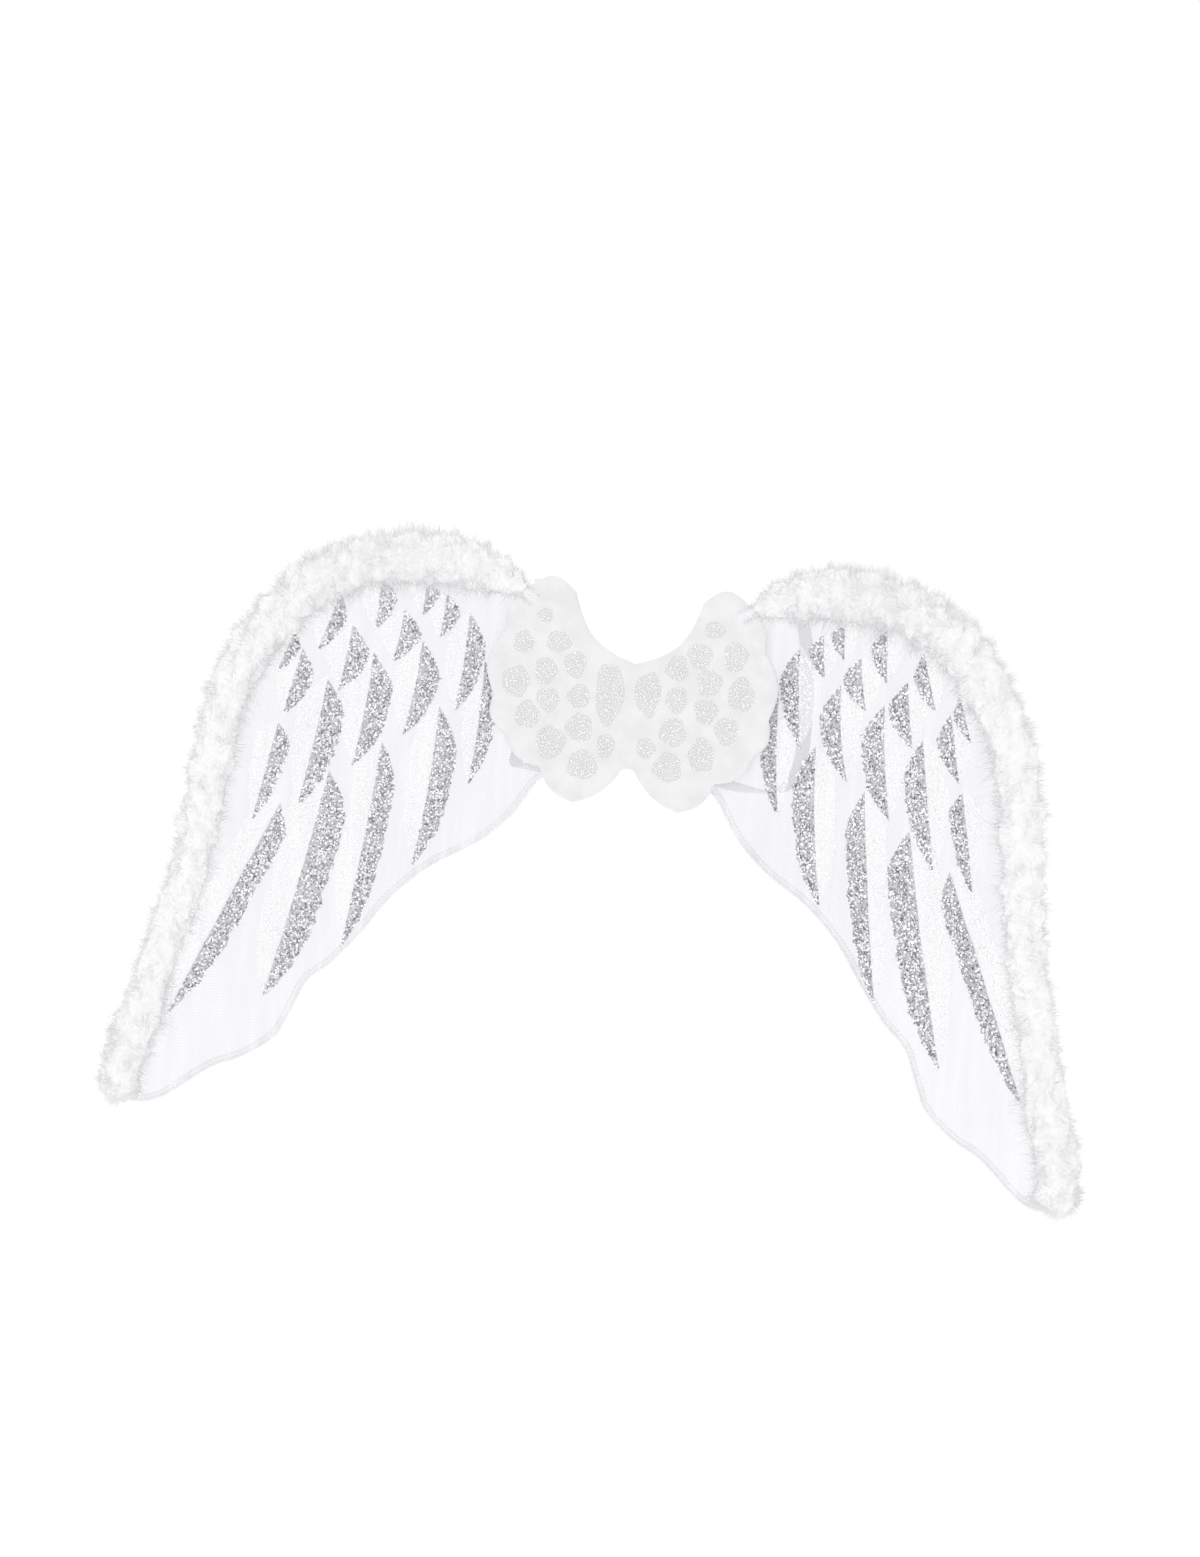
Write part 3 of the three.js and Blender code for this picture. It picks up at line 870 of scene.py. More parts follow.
def flakes(rng, flat, layer, size, side, tilt):
    """Hexagonal flakes at flat places, each tilted its own way."""
    count = len(flat)
    turn = rng.uniform(0, np.pi / 3, count)[:, None] + np.pi / 3 * np.arange(6)[None, :]
    radius = (size / 2 * rng.uniform(0.65, 1.15, count))[:, None]
    across, along = radius * np.cos(turn), radius * np.sin(turn)
    lean = rng.normal(0, tilt, (2, count, 1))
    stand = across * lean[0] + along * lean[1]
    out, up = flat[:, 0:1] + across, flat[:, 1:2] + along
    places = laid(out, up, layer[:, None] + np.abs(stand).max(axis=1, keepdims=True) + stand, side)
    return places.reshape(-1, 3), np.arange(6 * count).reshape(count, 6)


def scattered(rng, grid, spacing, thin):
    """Random flat places over a grid of cells, one to each square of that spacing, fewer by the vein."""
    corners = grid[:-1, :-1], grid[1:, :-1], grid[:-1, 1:], grid[1:, 1:]
    first, second = corners[1] - corners[0], corners[2] - corners[0]
    area = np.abs(first[..., 0] * second[..., 1] - first[..., 1] * second[..., 0])
    across = (np.arange(area.shape[1]) + 0.5) / area.shape[1]
    count = rng.poisson(area / spacing**2 * np.clip(across / thin, 0, 1)[None, :])
    cell = np.repeat(np.arange(count.size), count.ravel())
    a, b = rng.uniform(0, 1, (2, len(cell), 1))
    flat = [corner.reshape(-1, 2)[cell] for corner in corners]
    return flat[0] * (1 - a) * (1 - b) + flat[1] * a * (1 - b) + flat[2] * (1 - a) * b + flat[3] * a * b


def feathers_pieces(side_name, side):
    """The printed glitter feathers of a wing: silver on the inner side of each vein, pearl on the outer."""
    drift_out, drift_up, stretch = PRINT_DRIFT[side_name]
    sizes, glitter = look("sizes"), look("glitter")
    rng = np.random.default_rng(41 + side)
    # Tones: shares of plain, dark and bright flakes. The dark silver flakes are a painted dark reflection,
    # and the bright flakes of both kinds are painted glints.
    looks = {
        "silver": dict(sign=-1, spacing=1.08, tilt=0.42, lift=0.14, thin=0.16, tones=(0.4, 0.28, 0.32)),
        "pearl": dict(sign=1, spacing=2.1, tilt=0.3, lift=0.12, thin=0.05, tones=(0.45, 0.1, 0.45)),
    }
    made = []
    for kind, how in looks.items():
        groups, sheets, spots = [], [], []
        base = 0
        for feather in FEATHERS:
            share, vein, outer, width = feather_outline(feather)
            vein = vein * [1, stretch] + [drift_out, drift_up]
            if kind == "pearl":
                vein = vein + np.array([0, 0.03 * np.linalg.norm(vein[-1] - vein[0])])
            edge = width * (1 + 0.05 * rng.normal(0, 1, len(width)) * (share > 0.05))
            toward = outer * (1 if outer[0] > 0 else -1) * how["sign"]
            grid = half_feather(vein, toward, edge, FEATHER_ROWS)
            out, up = grid[..., 0], grid[..., 1]
            groups.append(laid(out, up, sizes.layer + ripple(out, up) + how["lift"], side).reshape(-1, 3))
            sheets.append(quads(FEATHER_STEPS, FEATHER_ROWS) + base)
            base += FEATHER_STEPS * FEATHER_ROWS
            spots.append(scattered(rng, grid, how["spacing"], how["thin"]))
        flat = np.vstack(spots)
        layer = sizes.layer + ripple(flat[:, 0], flat[:, 1]) + how["lift"] + 0.05
        tone = rng.choice(3, len(flat), p=how["tones"])
        # The bright flakes are painted glints, made larger and lifted over the rest.
        bright = tone == 2
        size = glitter.flake * np.where(bright, 1.3, 1.0)
        places, cells = flakes(rng, flat, layer + 0.25 * bright, size, side, how["tilt"])
        marks = [cells[tone == k] + base for k in range(3)]
        if kind == "silver":
            # Glue, plain silver film, silver film painted with a dark reflection, and silver film painted as
            # glints.
            materials = [
                glue_material(f"silver_glitter_glue_{side_name}", "#BDBDC2", "#D6D6DA", 0.3, 0.85),
                flake_material(f"silver_film_{side_name}", "#C0C0C5", glitter.silver, 0.8, 0.3),
                flake_material(f"painted_reflection_silver_film_{side_name}", "#8A8A91", "#A4A4AA", 0.8, 0.35),
                flake_material(f"bright_silver_film_{side_name}", "#FCFCFD", "#FFFFFF", 0.3, 0.2),
            ]
        else:
            # Glue, plain and rose pearl film, and pearl film painted as glints.
            materials = [
                glue_material(f"pearl_glitter_glue_{side_name}", "#FAF9FB", "#FFFFFF", 0.0, 0.4),
                flake_material(f"pearl_film_{side_name}", "#F4F3F6", glitter.pearl, 0.2, 0.25),
                flake_material(f"rose_pearl_film_{side_name}", "#F1E6EA", "#F7EEF1", 0.2, 0.25),
                flake_material(f"bright_pearl_film_{side_name}", "#FFFFFF", "#FFFFFF", 0.1, 0.2),
            ]
        faces = [np.vstack(sheets)] + marks
        kinds = range(len(faces))
        places = np.vstack(groups + [places])
        made.append(piece(f"{kind}_feathers_{side_name}", places, faces, materials, kinds, smooth=False))
    return made


def trim_route():
    """The trim's way along the leading edge and round the tip: distances, places and the down's reach."""
    shares = np.linspace(on_lead(FIRST_FLUFF_RIB - 0.3), on_trail(LAST_RIB), 600)
    middle = wire_route()(shares)
    fluff = np.interp(shares * 2 * len(RIBS), np.arange(len(RIBS)), RIBS[:, 4])
    return run_length(middle), middle, fluff * look("marabou").radius


def unit(vectors):
    """Vectors brought to length 1."""
    return vectors / np.linalg.norm(vectors, axis=-1, keepdims=True)


def lumps(seed, size):
    """A smooth random height over places in mm, about 1 either way, with a lump to each stretch of size."""
    rng = np.random.default_rng(seed)
    ways = unit(rng.normal(0, 1, (12, 3))) * (math.pi / size * rng.uniform(0.75, 1.3, (12, 1)))
    phase = rng.uniform(0, 2 * math.pi, 12)
    return lambda places: np.sin(places @ ways.T + phase).sum(axis=-1) / math.sqrt(6)


class Trim:
    """The marabou string's way along the wire, and how fat its packed down is."""

    def __init__(self):
        self.length, self.middle, self.reach = trim_route()
        self.broad, self.fine = lumps(3, 10.0), lumps(4, 4.5)

    def reach_at(self, distance):
        """How far the down reaches from the string at distances along it."""
        return np.interp(distance, self.length, self.reach)

    def axes(self, distance):
        """Where the string's middle is, the way along it and the way out of the wing, flat."""
        spots = [
            np.stack([np.interp(distance + step, self.length, row) for row in self.middle.T], axis=-1)
            for step in (-1.0, 0.0, 1.0)
        ]
        along = unit(spots[2] - spots[0])
        return spots[1], along, np.stack([-along[..., 1], along[..., 0]], axis=-1)

    def place(self, distance, turn, radius):
        """Flat places and layers round the string.

        Turn 0 is out of the wing, and a quarter turn is off its layer, away from the wearer.
        """
        root, _, away = self.axes(distance)
        flat = root + away * (radius * np.cos(turn))[..., None]
        return np.concatenate([flat, (radius * np.sin(turn))[..., None]], axis=-1)

    def fatness(self, distance, turn):
        """The packed down's radius: lumps with creases between, thin at the string's two ends."""
        share, thinnest, patch_end, tip_end = 0.74, 4.0, 22.0, 9.0
        packed = share * self.reach_at(distance)
        left = np.minimum((distance - PATCH_CLEARANCE) / patch_end, (self.length[-1] - distance) / tip_end)
        round_off = np.sqrt(1 - (1 - np.clip(left, 0, 1)) ** 2)
        spot = self.place(distance, turn, packed)
        billow = 0.15 * (np.abs(self.broad(spot)) - 0.8) + 0.07 * (np.abs(self.fine(spot)) - 0.8)
        return np.maximum(packed * round_off * (1 + billow), thinnest)


def down_body_piece(trim, side_name, side):
    """The packed down over the string: a lumpy roll with a slot for the cloth and a bore for the wire."""
    layer = look("sizes").layer
    columns, slot, bore, lip_inset, step = 36, 1.3, 3.0, 0.6, 1.7
    distance = np.arange(PATCH_CLEARANCE, trim.length[-1], step)
    thin = trim.fatness(distance, np.full_like(distance, math.pi))
    lip = np.arcsin(slot / thin)[:, None]
    turn = np.linspace(-1, 1, columns)[None, :] * (math.pi - lip)
    grid = np.broadcast_to(distance[:, None], turn.shape)
    outer = trim.place(grid, turn, trim.fatness(grid, turn))

    # The inner side: along the slot to the bore, round that and out again.
    third = columns // 3
    run = np.linspace(0, 1, third)[None, :]
    deep = -(thin[:, None] - lip_inset) * (1 - run) - bore * run
    hole = np.linspace(-1, 1, columns - 2 * third) * (math.pi - math.asin(slot / bore))
    hollow = np.broadcast_to(bore * np.cos(hole), (len(distance), len(hole)))
    across = np.concatenate([deep, hollow, deep[:, ::-1]], axis=1)
    off = np.concatenate([np.full(third, -slot), bore * np.sin(hole), np.full(third, slot)])
    root, _, away = trim.axes(distance)
    flat = root[:, None] + away[:, None] * across[..., None]
    inner = np.concatenate([flat, np.broadcast_to(off, across.shape)[..., None]], axis=2)
    ring = np.concatenate([outer, inner[:, ::-1]], axis=1)
    places = laid(ring[..., 0], ring[..., 1], layer + ring[..., 2], side)
    k = np.arange(columns - 1)
    cap = np.stack([k, k + 1, 2 * columns - 2 - k, 2 * columns - 1 - k], axis=1)
    last = cap[:, ::-1] + (len(distance) - 1) * 2 * columns
    faces = [quads(len(distance), 2 * columns, around=True), cap, last]
    material = packed_down_material(f"marabou_packed_down_{side_name}", "#F8F8F9", "#FDFDFD")
    return piece(f"marabou_packed_down_{side_name}", places, faces, [material], solid=True)


def let_light_through(made):
    """Down passes nearly all light on, so it neither shades nor darkens what is near it."""
    made.visible_shadow = False
    made.visible_diffuse = False
    made.visible_transmission = False


def barbs(rng, trim, count, steps, shortest, longest):
    """Ribbons that stand out of the packed down in tufts: distances along it, places and normals."""
    share = np.cumsum(trim.reach)
    distance = np.interp(rng.uniform(0, share[-1], count), share, trim.length)
    turn = rng.uniform(-1, 1, count) * (math.pi - 0.1)
    root = np.stack([np.cos(turn), np.zeros(count), np.sin(turn)], axis=1)
    spot = trim.place(distance, turn, trim.reach_at(distance))
    tuft = np.stack([lumps(20 + k, 9.0)(spot) for k in range(3)], axis=1)
    tall = np.clip(1 + 0.16 * lumps(30, 8.0)(spot) + 0.1 * lumps(31, 17.0)(spot), 0.6, 1.4)

    # The first barbs lean back to the patch, and the last ones out past the wing's tip.
    first_stretch, last_stretch = 24, 12
    first = np.clip(1 - distance / first_stretch, 0, 1)
    last = np.clip(1 - (trim.length[-1] - distance) / last_stretch, 0, 1)
    gathered, stray, curl = 0.28, 0.48, 0.32
    heading = root + gathered * tuft + rng.normal(0, stray, (count, 3))
    heading[:, 1] += 1.3 * last - 1.1 * first
    heading = unit(heading)
    size = trim.reach_at(distance) * rng.uniform(shortest, longest, count) * tall
    bend = curl * rng.normal(0, 1, (count, 3)) + 0.12 * tuft
    foot = root * (0.9 * trim.fatness(distance, turn))[:, None]
    points = [foot + size[:, None] * (heading * t + bend * t**2) for t in np.linspace(0, 1, steps + 1)]
    points = np.stack(points, axis=1)
    facing = root + rng.normal(0, 0.7, (count, 3))
    flat = unit(np.cross(heading, facing))
    half = look("marabou").width / 2 * np.linspace(1.0, 0.45, steps)[None, :, None]
    left = points[:, :steps] - flat[:, None] * half
    right = points[:, :steps] + flat[:, None] * half
    ribbons = np.concatenate([left, right, points[:, steps:]], axis=1)

    # Barbs over the wing keep to their side of the cloth.
    edge, clear = 2.0, 1.4
    face = np.where(turn >= 0, 1.0, -1.0)[:, None]
    off = ribbons[..., 2]
    low = (ribbons[..., 0] < edge) & (off * face < clear)
    ribbons[..., 2] = np.where(low, face * (clear + 0.3 * np.abs(off)), off)
    return distance, ribbons, unit(root + 0.3 * tuft + 0.25 * heading)


def off_patch(ribbons, layer):
    """Moves barbs that would cut through the patch to its front."""
    near = ribbons[..., 0].min(axis=1) < PATCH_HALF_WIDTH
    inside = np.zeros(ribbons.shape[:2], bool)
    outline = inset_outline(patch_outline(), -1.0)
    inside[near] = in_polygon(ribbons[near][..., :2].reshape(-1, 2), outline).reshape(-1, ribbons.shape[1])
    off = ribbons[..., 2]
    front = PATCH_FRONT - layer + 0.25 * np.abs(off)
    ribbons[..., 2] = np.where(inside, np.maximum(off, front), off)
    return ribbons


def marabou_pieces(side_name, side):
    """The marabou trim: packed down over a string, with short fuzz and long wisps that stand out of it."""
    sizes, down = look("sizes"), look("marabou")
    rng = np.random.default_rng(7 + side)
    trim = Trim()
    made = [down_body_piece(trim, side_name, side)]
    layers = (
        # name, barbs, steps, shortest, longest, two colours
        ("fuzz", down.fuzz, 2, 0.2, 0.4, "#F8F8FB", "#FDFDFE"),
        ("wisps", down.wisps, 3, 0.36, 0.62, "#FAFAFD", down.colour),
    )
    for title, count, steps, shortest, longest, low_colour, high_colour in layers:
        distance, ribbons, normal = barbs(rng, trim, count, steps, shortest, longest)
        root, along, away = trim.axes(distance)
        flat = root[:, None] + away[:, None] * ribbons[..., 0:1] + along[:, None] * ribbons[..., 1:2]
        ribbons = off_patch(np.concatenate([flat, ribbons[..., 2:3]], axis=2), sizes.layer)
        places = laid(ribbons[..., 0], ribbons[..., 1], sizes.layer + ribbons[..., 2], side)

        # The light falls on a tuft as on one soft form, so a barb has the normal of the form round it.
        planar = away * normal[:, 0:1] + along * normal[:, 1:2]
        turn = root[:, 0] / sizes.bend
        outward = np.stack(
            [
                side * (np.cos(turn) * planar[:, 0] - np.sin(turn) * normal[:, 2]),
                -np.sin(turn) * planar[:, 0] - np.cos(turn) * normal[:, 2],
                planar[:, 1],
            ],
            axis=1,
        )
        corners = 2 * steps + 1
        base = corners * np.arange(count)[:, None]
        four = np.concatenate([base + [k, k + steps, k + steps + 1, k + 1] for k in range(steps - 1)])
        three = base + [steps - 1, 2 * steps - 1, 2 * steps]
        faced = np.cross(places[:, steps] - places[:, 0], places[:, 1] - places[:, 0])
        back = (faced * outward).sum(axis=1) < 0
        four = np.where(np.tile(back, steps - 1)[:, None], four[:, ::-1], four)
        three = np.where(back[:, None], three[:, ::-1], three)
        material = down_material(f"marabou_{title}_{side_name}", low_colour, high_colour)
        layer = piece(f"marabou_{title}_{side_name}", places, [four, three], [material])
        layer.data.normals_split_custom_set_from_vertices(np.repeat(outward, corners, axis=0).tolist())
        made.append(layer)
    for layer in made:
        let_light_through(layer)
    return made


def patch_outline():
    """The patch's whole edge, in mm, anticlockwise."""
    corners = [
        (out * PATCH_HALF_WIDTH, up * (PATCH_RISE if up >= 0 else PATCH_DROP), bulge * PATCH_HALF_WIDTH)
        for out, up, bulge in PATCH_EDGE
    ]
    spacing = 2.2
    half = []
    for start, end in zip(corners, corners[1:]):
        first, last = np.array(start[:2]), np.array(end[:2])
        chord = last - first
        off = np.array([-chord[1], chord[0]]) / np.linalg.norm(chord)
        steps = max(4, int(np.linalg.norm(chord) / spacing))
        for share in np.arange(steps) / steps:
            half.append(first + chord * share + off * start[2] * math.sin(math.pi * share))
    half.append(np.array(corners[-1][:2]))
    half = np.array(half)
    left = half[1:-1][::-1] * [-1, 1]
    return np.vstack([half, left])[::-1]


def inset_outline(outline, inset):
    """An outline moved into itself, or out of itself where inset is below 0."""
    before = outline - np.roll(outline, 1, axis=0)
    after = np.roll(outline, -1, axis=0) - outline
    normals = []
    for along in (before, after):
        normal = np.stack([-along[:, 1], along[:, 0]], axis=1)
        normals.append(normal / np.linalg.norm(normal, axis=1)[:, None])
    between = normals[0] + normals[1]
    share = inset / np.maximum((between * normals[0]).sum(axis=1), 0.6)
    return outline + between * share[:, None]


def patch_pieces():
    """The scalloped felt patch, with soft cut edges and low waves, and its glitter spots."""
    felt = look("harness").felt
    outline = patch_outline()
    near, thick, inside_cut = PATCH_LAYER, PATCH_THICKNESS, 0.05
    # The rounded edge: how far in, and how far below the face, as a share of the felt.
    rings = [(0.0, 0.72), (0.25, 0.42), (0.7, 0.16), (1.5, 0.0)]
    edge = [inset_outline(outline, inset + inside_cut) for inset, _ in rings]
    inner = edge[-1]

    # Points inside, on a 4 mm grid.
    pitch, from_edge = 4.0, 3.2
    columns = np.arange(-PATCH_HALF_WIDTH - 2, PATCH_HALF_WIDTH + 3, pitch)
    xs, ys = np.meshgrid(columns, np.arange(-PATCH_DROP - 1, PATCH_RISE + 2, pitch))
    seeds = np.stack([xs.ravel(), ys.ravel()], axis=1)
    seeds = seeds[in_polygon(seeds, inset_outline(outline, from_edge))]
    points = [Vector(p) for p in np.vstack([inner, seeds])]
    ring = list(range(len(inner)))
    found = delaunay_2d_cdt(points, [], [ring], 1, 1e-5)
    top = np.array([list(p) for p in found[0]])
    caps = np.array([list(face) for face in found[2]])
    if len(top) != len(points):
        raise ValueError("the patch's outline crosses itself")

    def bulged(flat):
        """How far the felt stands off its layer: low waves, and edges that curl forward at sides and foot."""
        out, up = flat[:, 0], flat[:, 1]
        waves = 0.175 * np.sin(out / 13.0 + 0.6) * np.sin(up / 11.0)
        sides = 1.7 * np.clip((np.abs(out) - 78) / 28, 0, 1) ** 2
        foot = 1.4 * np.clip((-up - 44) / 20, 0, 1) ** 2
        return waves + sides + foot

    face = [(flat, near + thick - thick * low) for (_, low), flat in zip(rings, edge)]
    back = [(flat, near + 0.12 * thick * low) for (_, low), flat in zip(rings, edge)]
    order = face[::-1] + back
    count = len(outline)
    places = [laid(flat[:, 0], flat[:, 1], layer + bulged(flat)) for flat, layer in order]
    wall = quads(len(order), count, around=True)
    base = len(order) * count
    front_extra = top[count:]
    places.append(laid(front_extra[:, 0], front_extra[:, 1], near + thick + bulged(front_extra)))
    places.append(laid(front_extra[:, 0], front_extra[:, 1], near + bulged(front_extra)))
    front = np.where(caps < count, caps, caps - count + base)
    rear_ring = (len(order) - 1) * count
    rear = np.where(caps < count, caps + rear_ring, caps - count + base + len(front_extra))[:, ::-1]
    material = felt_material("polyester_felt", "#E5E5E6", felt)
    patch = piece("felt_patch", np.vstack(places), [wall, front, rear], [material], solid=True)
    area = cut_area(outline)

    # The glitter spots: low discs of clear glue with pearl flakes in them.
    rng = np.random.default_rng(5)
    sides, per_square_mm, dome_height, tilt = 28, 0.24, 0.3, 0.07
    groups, faces, base = [], [], 0
    flat_all = []
    for out, up, half_width, half_height in PATCH_SPOTS:
        turn = np.linspace(0, 2 * np.pi, sides, endpoint=False)
        wobble = 1 + 0.07 * np.sin(3 * turn + rng.uniform(0, 6))
        wobble = wobble + 0.05 * np.sin(5 * turn + rng.uniform(0, 6))
        rows = np.array([0.0, 0.5, 0.85, 1.0])[:, None]
        x = out + rows * half_width * wobble * np.cos(turn)
        y = up + rows * half_height * wobble * np.sin(turn)
        flat = np.stack([x, y], axis=-1)
        dome = near + thick + np.array([dome_height, 0.28, 0.2, 0.02])[:, None]
        groups.append(laid(x, y, dome + bulged(flat.reshape(-1, 2)).reshape(x.shape)).reshape(-1, 3))
        faces.append(quads(len(rows), sides, around=True) + base)
        base += len(rows) * sides
        many = int(per_square_mm * np.pi * half_width * half_height)
        spread = np.sqrt(rng.uniform(0, 0.95, many))
        angle = rng.uniform(0, 2 * np.pi, many)
        x = out + half_width * spread * np.cos(angle)
        y = up + half_height * spread * np.sin(angle)
        flat_all.append(np.stack([x, y], axis=1))
    flat = np.vstack(flat_all)
    stand = near + thick + dome_height + bulged(flat)
    places, cells = flakes(rng, flat, stand, look("glitter").flake, 1, tilt)
    # Tones: plain, rose and bright flakes; the bright ones are painted glints.
    tone = rng.choice(3, len(cells), p=(0.5, 0.2, 0.3))
    marks = [cells[tone == k] + base for k in range(3)]
    spots = piece(
        "patch_glitter_spots",
        np.vstack(groups + [places]),
        [np.vstack(faces)] + marks,
        [
            glue_material("pearl_glitter_spot_glue", "#ECEBEB", "#EFEDEE", 0.0, 0.35),
            flake_material("pearl_spot_film", "#F1F0F1", "#F5F4F5", 0.0, 0.6),
            flake_material("rose_pearl_spot_film", "#F4EAEC", "#F6EEF0", 0.0, 0.6),
            flake_material("painted_glint_pearl_spot_film", "#F7F7F8", "#FBFBFC", 0.05, 0.4),
        ],
        kinds=[0, 1, 2, 3],
        smooth=False,
    )
    return patch, spots, area


def in_polygon(points, outline):
    """Which points lie inside an outline."""
    inside = np.zeros(len(points), bool)
    x, y = points[:, 0], points[:, 1]
    for a, b in zip(outline, np.roll(outline, -1, axis=0)):
        crosses = (a[1] > y) != (b[1] > y)
        with np.errstate(divide="ignore", invalid="ignore"):
            reach = (b[0] - a[0]) * (y - a[1]) / (b[1] - a[1]) + a[0]
        inside ^= crosses & (x < reach)
    return inside


def elastic_pieces(side_name, side):
    """A shoulder elastic: a ribbed woven band with rounded edges, and the bar tacks at its two ends."""
    harness = look("harness")
    thickness, width = harness.elastic_thickness, harness.elastic_width
    out, fore, up, face = ELASTIC_ROUTE.T
    fore = fore * SHOULDER_DEPTH - BACK_GAP - thickness / 2
    up = up * np.where(up >= 0, SHOULDER_RISE, SHOULDER_DROP)
    at = smooth_route(np.stack([out * SHOULDER_OUT, fore, up], axis=1), closed=False)
    steps, count, cords, weft = 240, 44, 7, 2.6
    share = np.linspace(0, 1, steps)
    place = at(share)
    along = directions(at, share)
    face = np.radians(np.interp(share, np.linspace(0, 1, len(face)), face))
    outward = np.stack([np.zeros(steps), -np.cos(face), np.sin(face)], axis=1)
    outward -= along * (outward * along).sum(axis=1)[:, None]
    outward = unit(outward)
    across = np.cross(along, outward)

    # The section: seven warp cords to a side, under a thin cover, with round edges.
    turn = np.linspace(0, 2 * np.pi, count, endpoint=False)
    broad = np.sign(np.cos(turn)) * np.abs(np.cos(turn)) ** 0.55 * width / 2
    deep = np.sign(np.sin(turn)) * np.abs(np.sin(turn)) ** 0.4 * thickness / 2
    deep = deep * (1 - 0.1 * (1 + np.cos(broad / width * 2 * np.pi * cords)) / 2)
    edge = 1 - 0.012 * (1 + np.sin(run_length(place) * 2 * np.pi / weft))[:, None]
    ring = (
        place[:, None]
        + across[:, None] * (broad[None, :] * edge)[..., None]
        + outward[:, None] * deep[None, :, None]
    )
    ring = ring * [side, 1, 1] * MM
    ends = [np.arange(count)[None, ::-1], np.arange(count)[None] + (steps - 1) * count]
    band = piece(
        f"elastic_band_{side_name}",
        ring.reshape(-1, 3),
        [quads(steps, count, around=True)] + ends,
        [ribbed_material(f"woven_elastic_{side_name}", "#E6E6E9", harness.elastic, 0.9)],
        solid=True,
    )

    # The bar tacks: a short zigzag of thread across each end, on the side that faces the wearer.
    groups, faces, base = [], [], 0
    sides, turns, step, thread = 6, 26, 0.16, 0.14
    ring_turn = 2 * np.pi * np.arange(sides) / sides
    for end in (0.012, 0.988):
        start = at(end)[0]
        way = directions(at, np.array([end]))[0]
        sideways = np.cross(way, [0, -1, 0])
        zig = np.arange(turns)
        line = (
            start
            + sideways * (width * 0.38 * np.where(zig % 2, 1, -1))[:, None]
            + way * ((zig - (turns - 1) / 2) * step)[:, None]
        )
        line[:, 1] += thickness / 2 + 0.02
        turned = np.stack([np.zeros(sides), np.cos(ring_turn), np.sin(ring_turn)], axis=1) * thread
        lean = np.stack([np.cos(ring_turn), np.zeros(sides), np.zeros(sides)], axis=1) * 0.08
        rings = line[:, None] + turned[None] + lean[None]
        groups.append((rings * [side, 1, 1] * MM).reshape(-1, 3))
        faces.append(quads(turns, sides, around=True) + base)
        base += turns * sides
    material = ribbed_material(f"tack_thread_{side_name}", "#F4F4F6", "#FDFDFD", 0.5)
    return band, piece(f"elastic_tacks_{side_name}", np.vstack(groups), faces, [material])


def sleeve_piece():
    """The tape wound round both wires: each turn overlaps the last, so that its edge stands as a step."""
    sizes = look("sizes")
    top, foot = RIBS[1, 1] * sizes.rise, RIBS[1, 3] * sizes.drop
    middle, half = (top + foot) / 2, 0.46 * (top - foot)
    gap, rows, sides, pitch, tape, overlap = 0.3, 110, 36, 5.2, 0.75, 0.38
    spread, radius = RIBS[1, 0] * sizes.reach, sizes.wire / 2 + gap
    heights = np.linspace(middle - half, middle + half, rows)[:, None]
    turn = 2 * np.pi * np.arange(sides) / sides
    phase = (heights / pitch - turn[None, :] / (2 * np.pi)) % 1.0

    def rings_at(stand):
        """Rings round both wires, that far from the middle of the nearer one."""
        out = np.sign(np.cos(turn)) * spread + stand * np.cos(turn)
        fore = stand * np.sin(turn) - sizes.layer
        return np.stack([out, fore, np.broadcast_to(heights, stand.shape)], axis=-1)

    outer = rings_at(radius + tape + overlap * phase)
    bore = rings_at(np.full_like(phase, radius))
    rings = np.concatenate([outer, bore[::-1]], axis=0)
    faces = [quads(len(rings), sides, around=True, looped=True)]
    material = ribbed_material("woven_cotton_tape", "#E6E6E6", look("harness").tape, 1.1)
    return piece("tape_sleeve", rings * MM, faces, [material], solid=True)


def thread_loop_piece():
    """A loose end of the marabou's tying thread, which stands out of the left trim as a small loop."""
    sizes = look("sizes")
    steps, sides, thread = 40, 6, 0.28
    loop_out, loop_up, half_height, stand = 247, 75, 7.0, 19
    turn = np.linspace(0.25, 2 * np.pi - 0.1, steps)
    out = loop_out + 3.4 * np.sin(turn) + 1.2 * np.cos(turn)
    up = loop_up - half_height * np.cos(turn)
    layer = sizes.layer + stand + 0.8 * np.sin(2 * turn)
    middle = np.stack([out, up, layer], axis=1)
    along = unit(np.gradient(middle, axis=0))
    first = unit(np.cross(along, [0.0, 0.0, 1.0]))[:, None]
    second = np.cross(along, first[:, 0])[:, None]
    round_by = (2 * np.pi * np.arange(sides) / sides)[None, :, None]
    ring = middle[:, None] + thread * (first * np.cos(round_by) + second * np.sin(round_by))
    places = laid(ring[..., 0], ring[..., 1], ring[..., 2], -1)
    material = ribbed_material("nylon_tying_thread", "#DADADD", "#E9E9EC", 0.6)
    return piece("marabou_thread_loop", places, [quads(steps, sides, around=True)], [material])


class WINGS_OT_cloth(bpy.types.Operator):
    """Makes the sheer cloth of both wings, with its hem and stitches"""

    bl_idname = "wings.cloth"
    bl_label = "Sheer cloth"

    def execute(self, context):
        for side_name, side in SIDES:
            net, area, width, height = net_piece(side_name, side)
            hem = hem_piece(side_name, side)
            stitches = stitches_piece(side_name, side)
            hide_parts(f"wing_cloth_{side_name}")
        return {"FINISHED"}


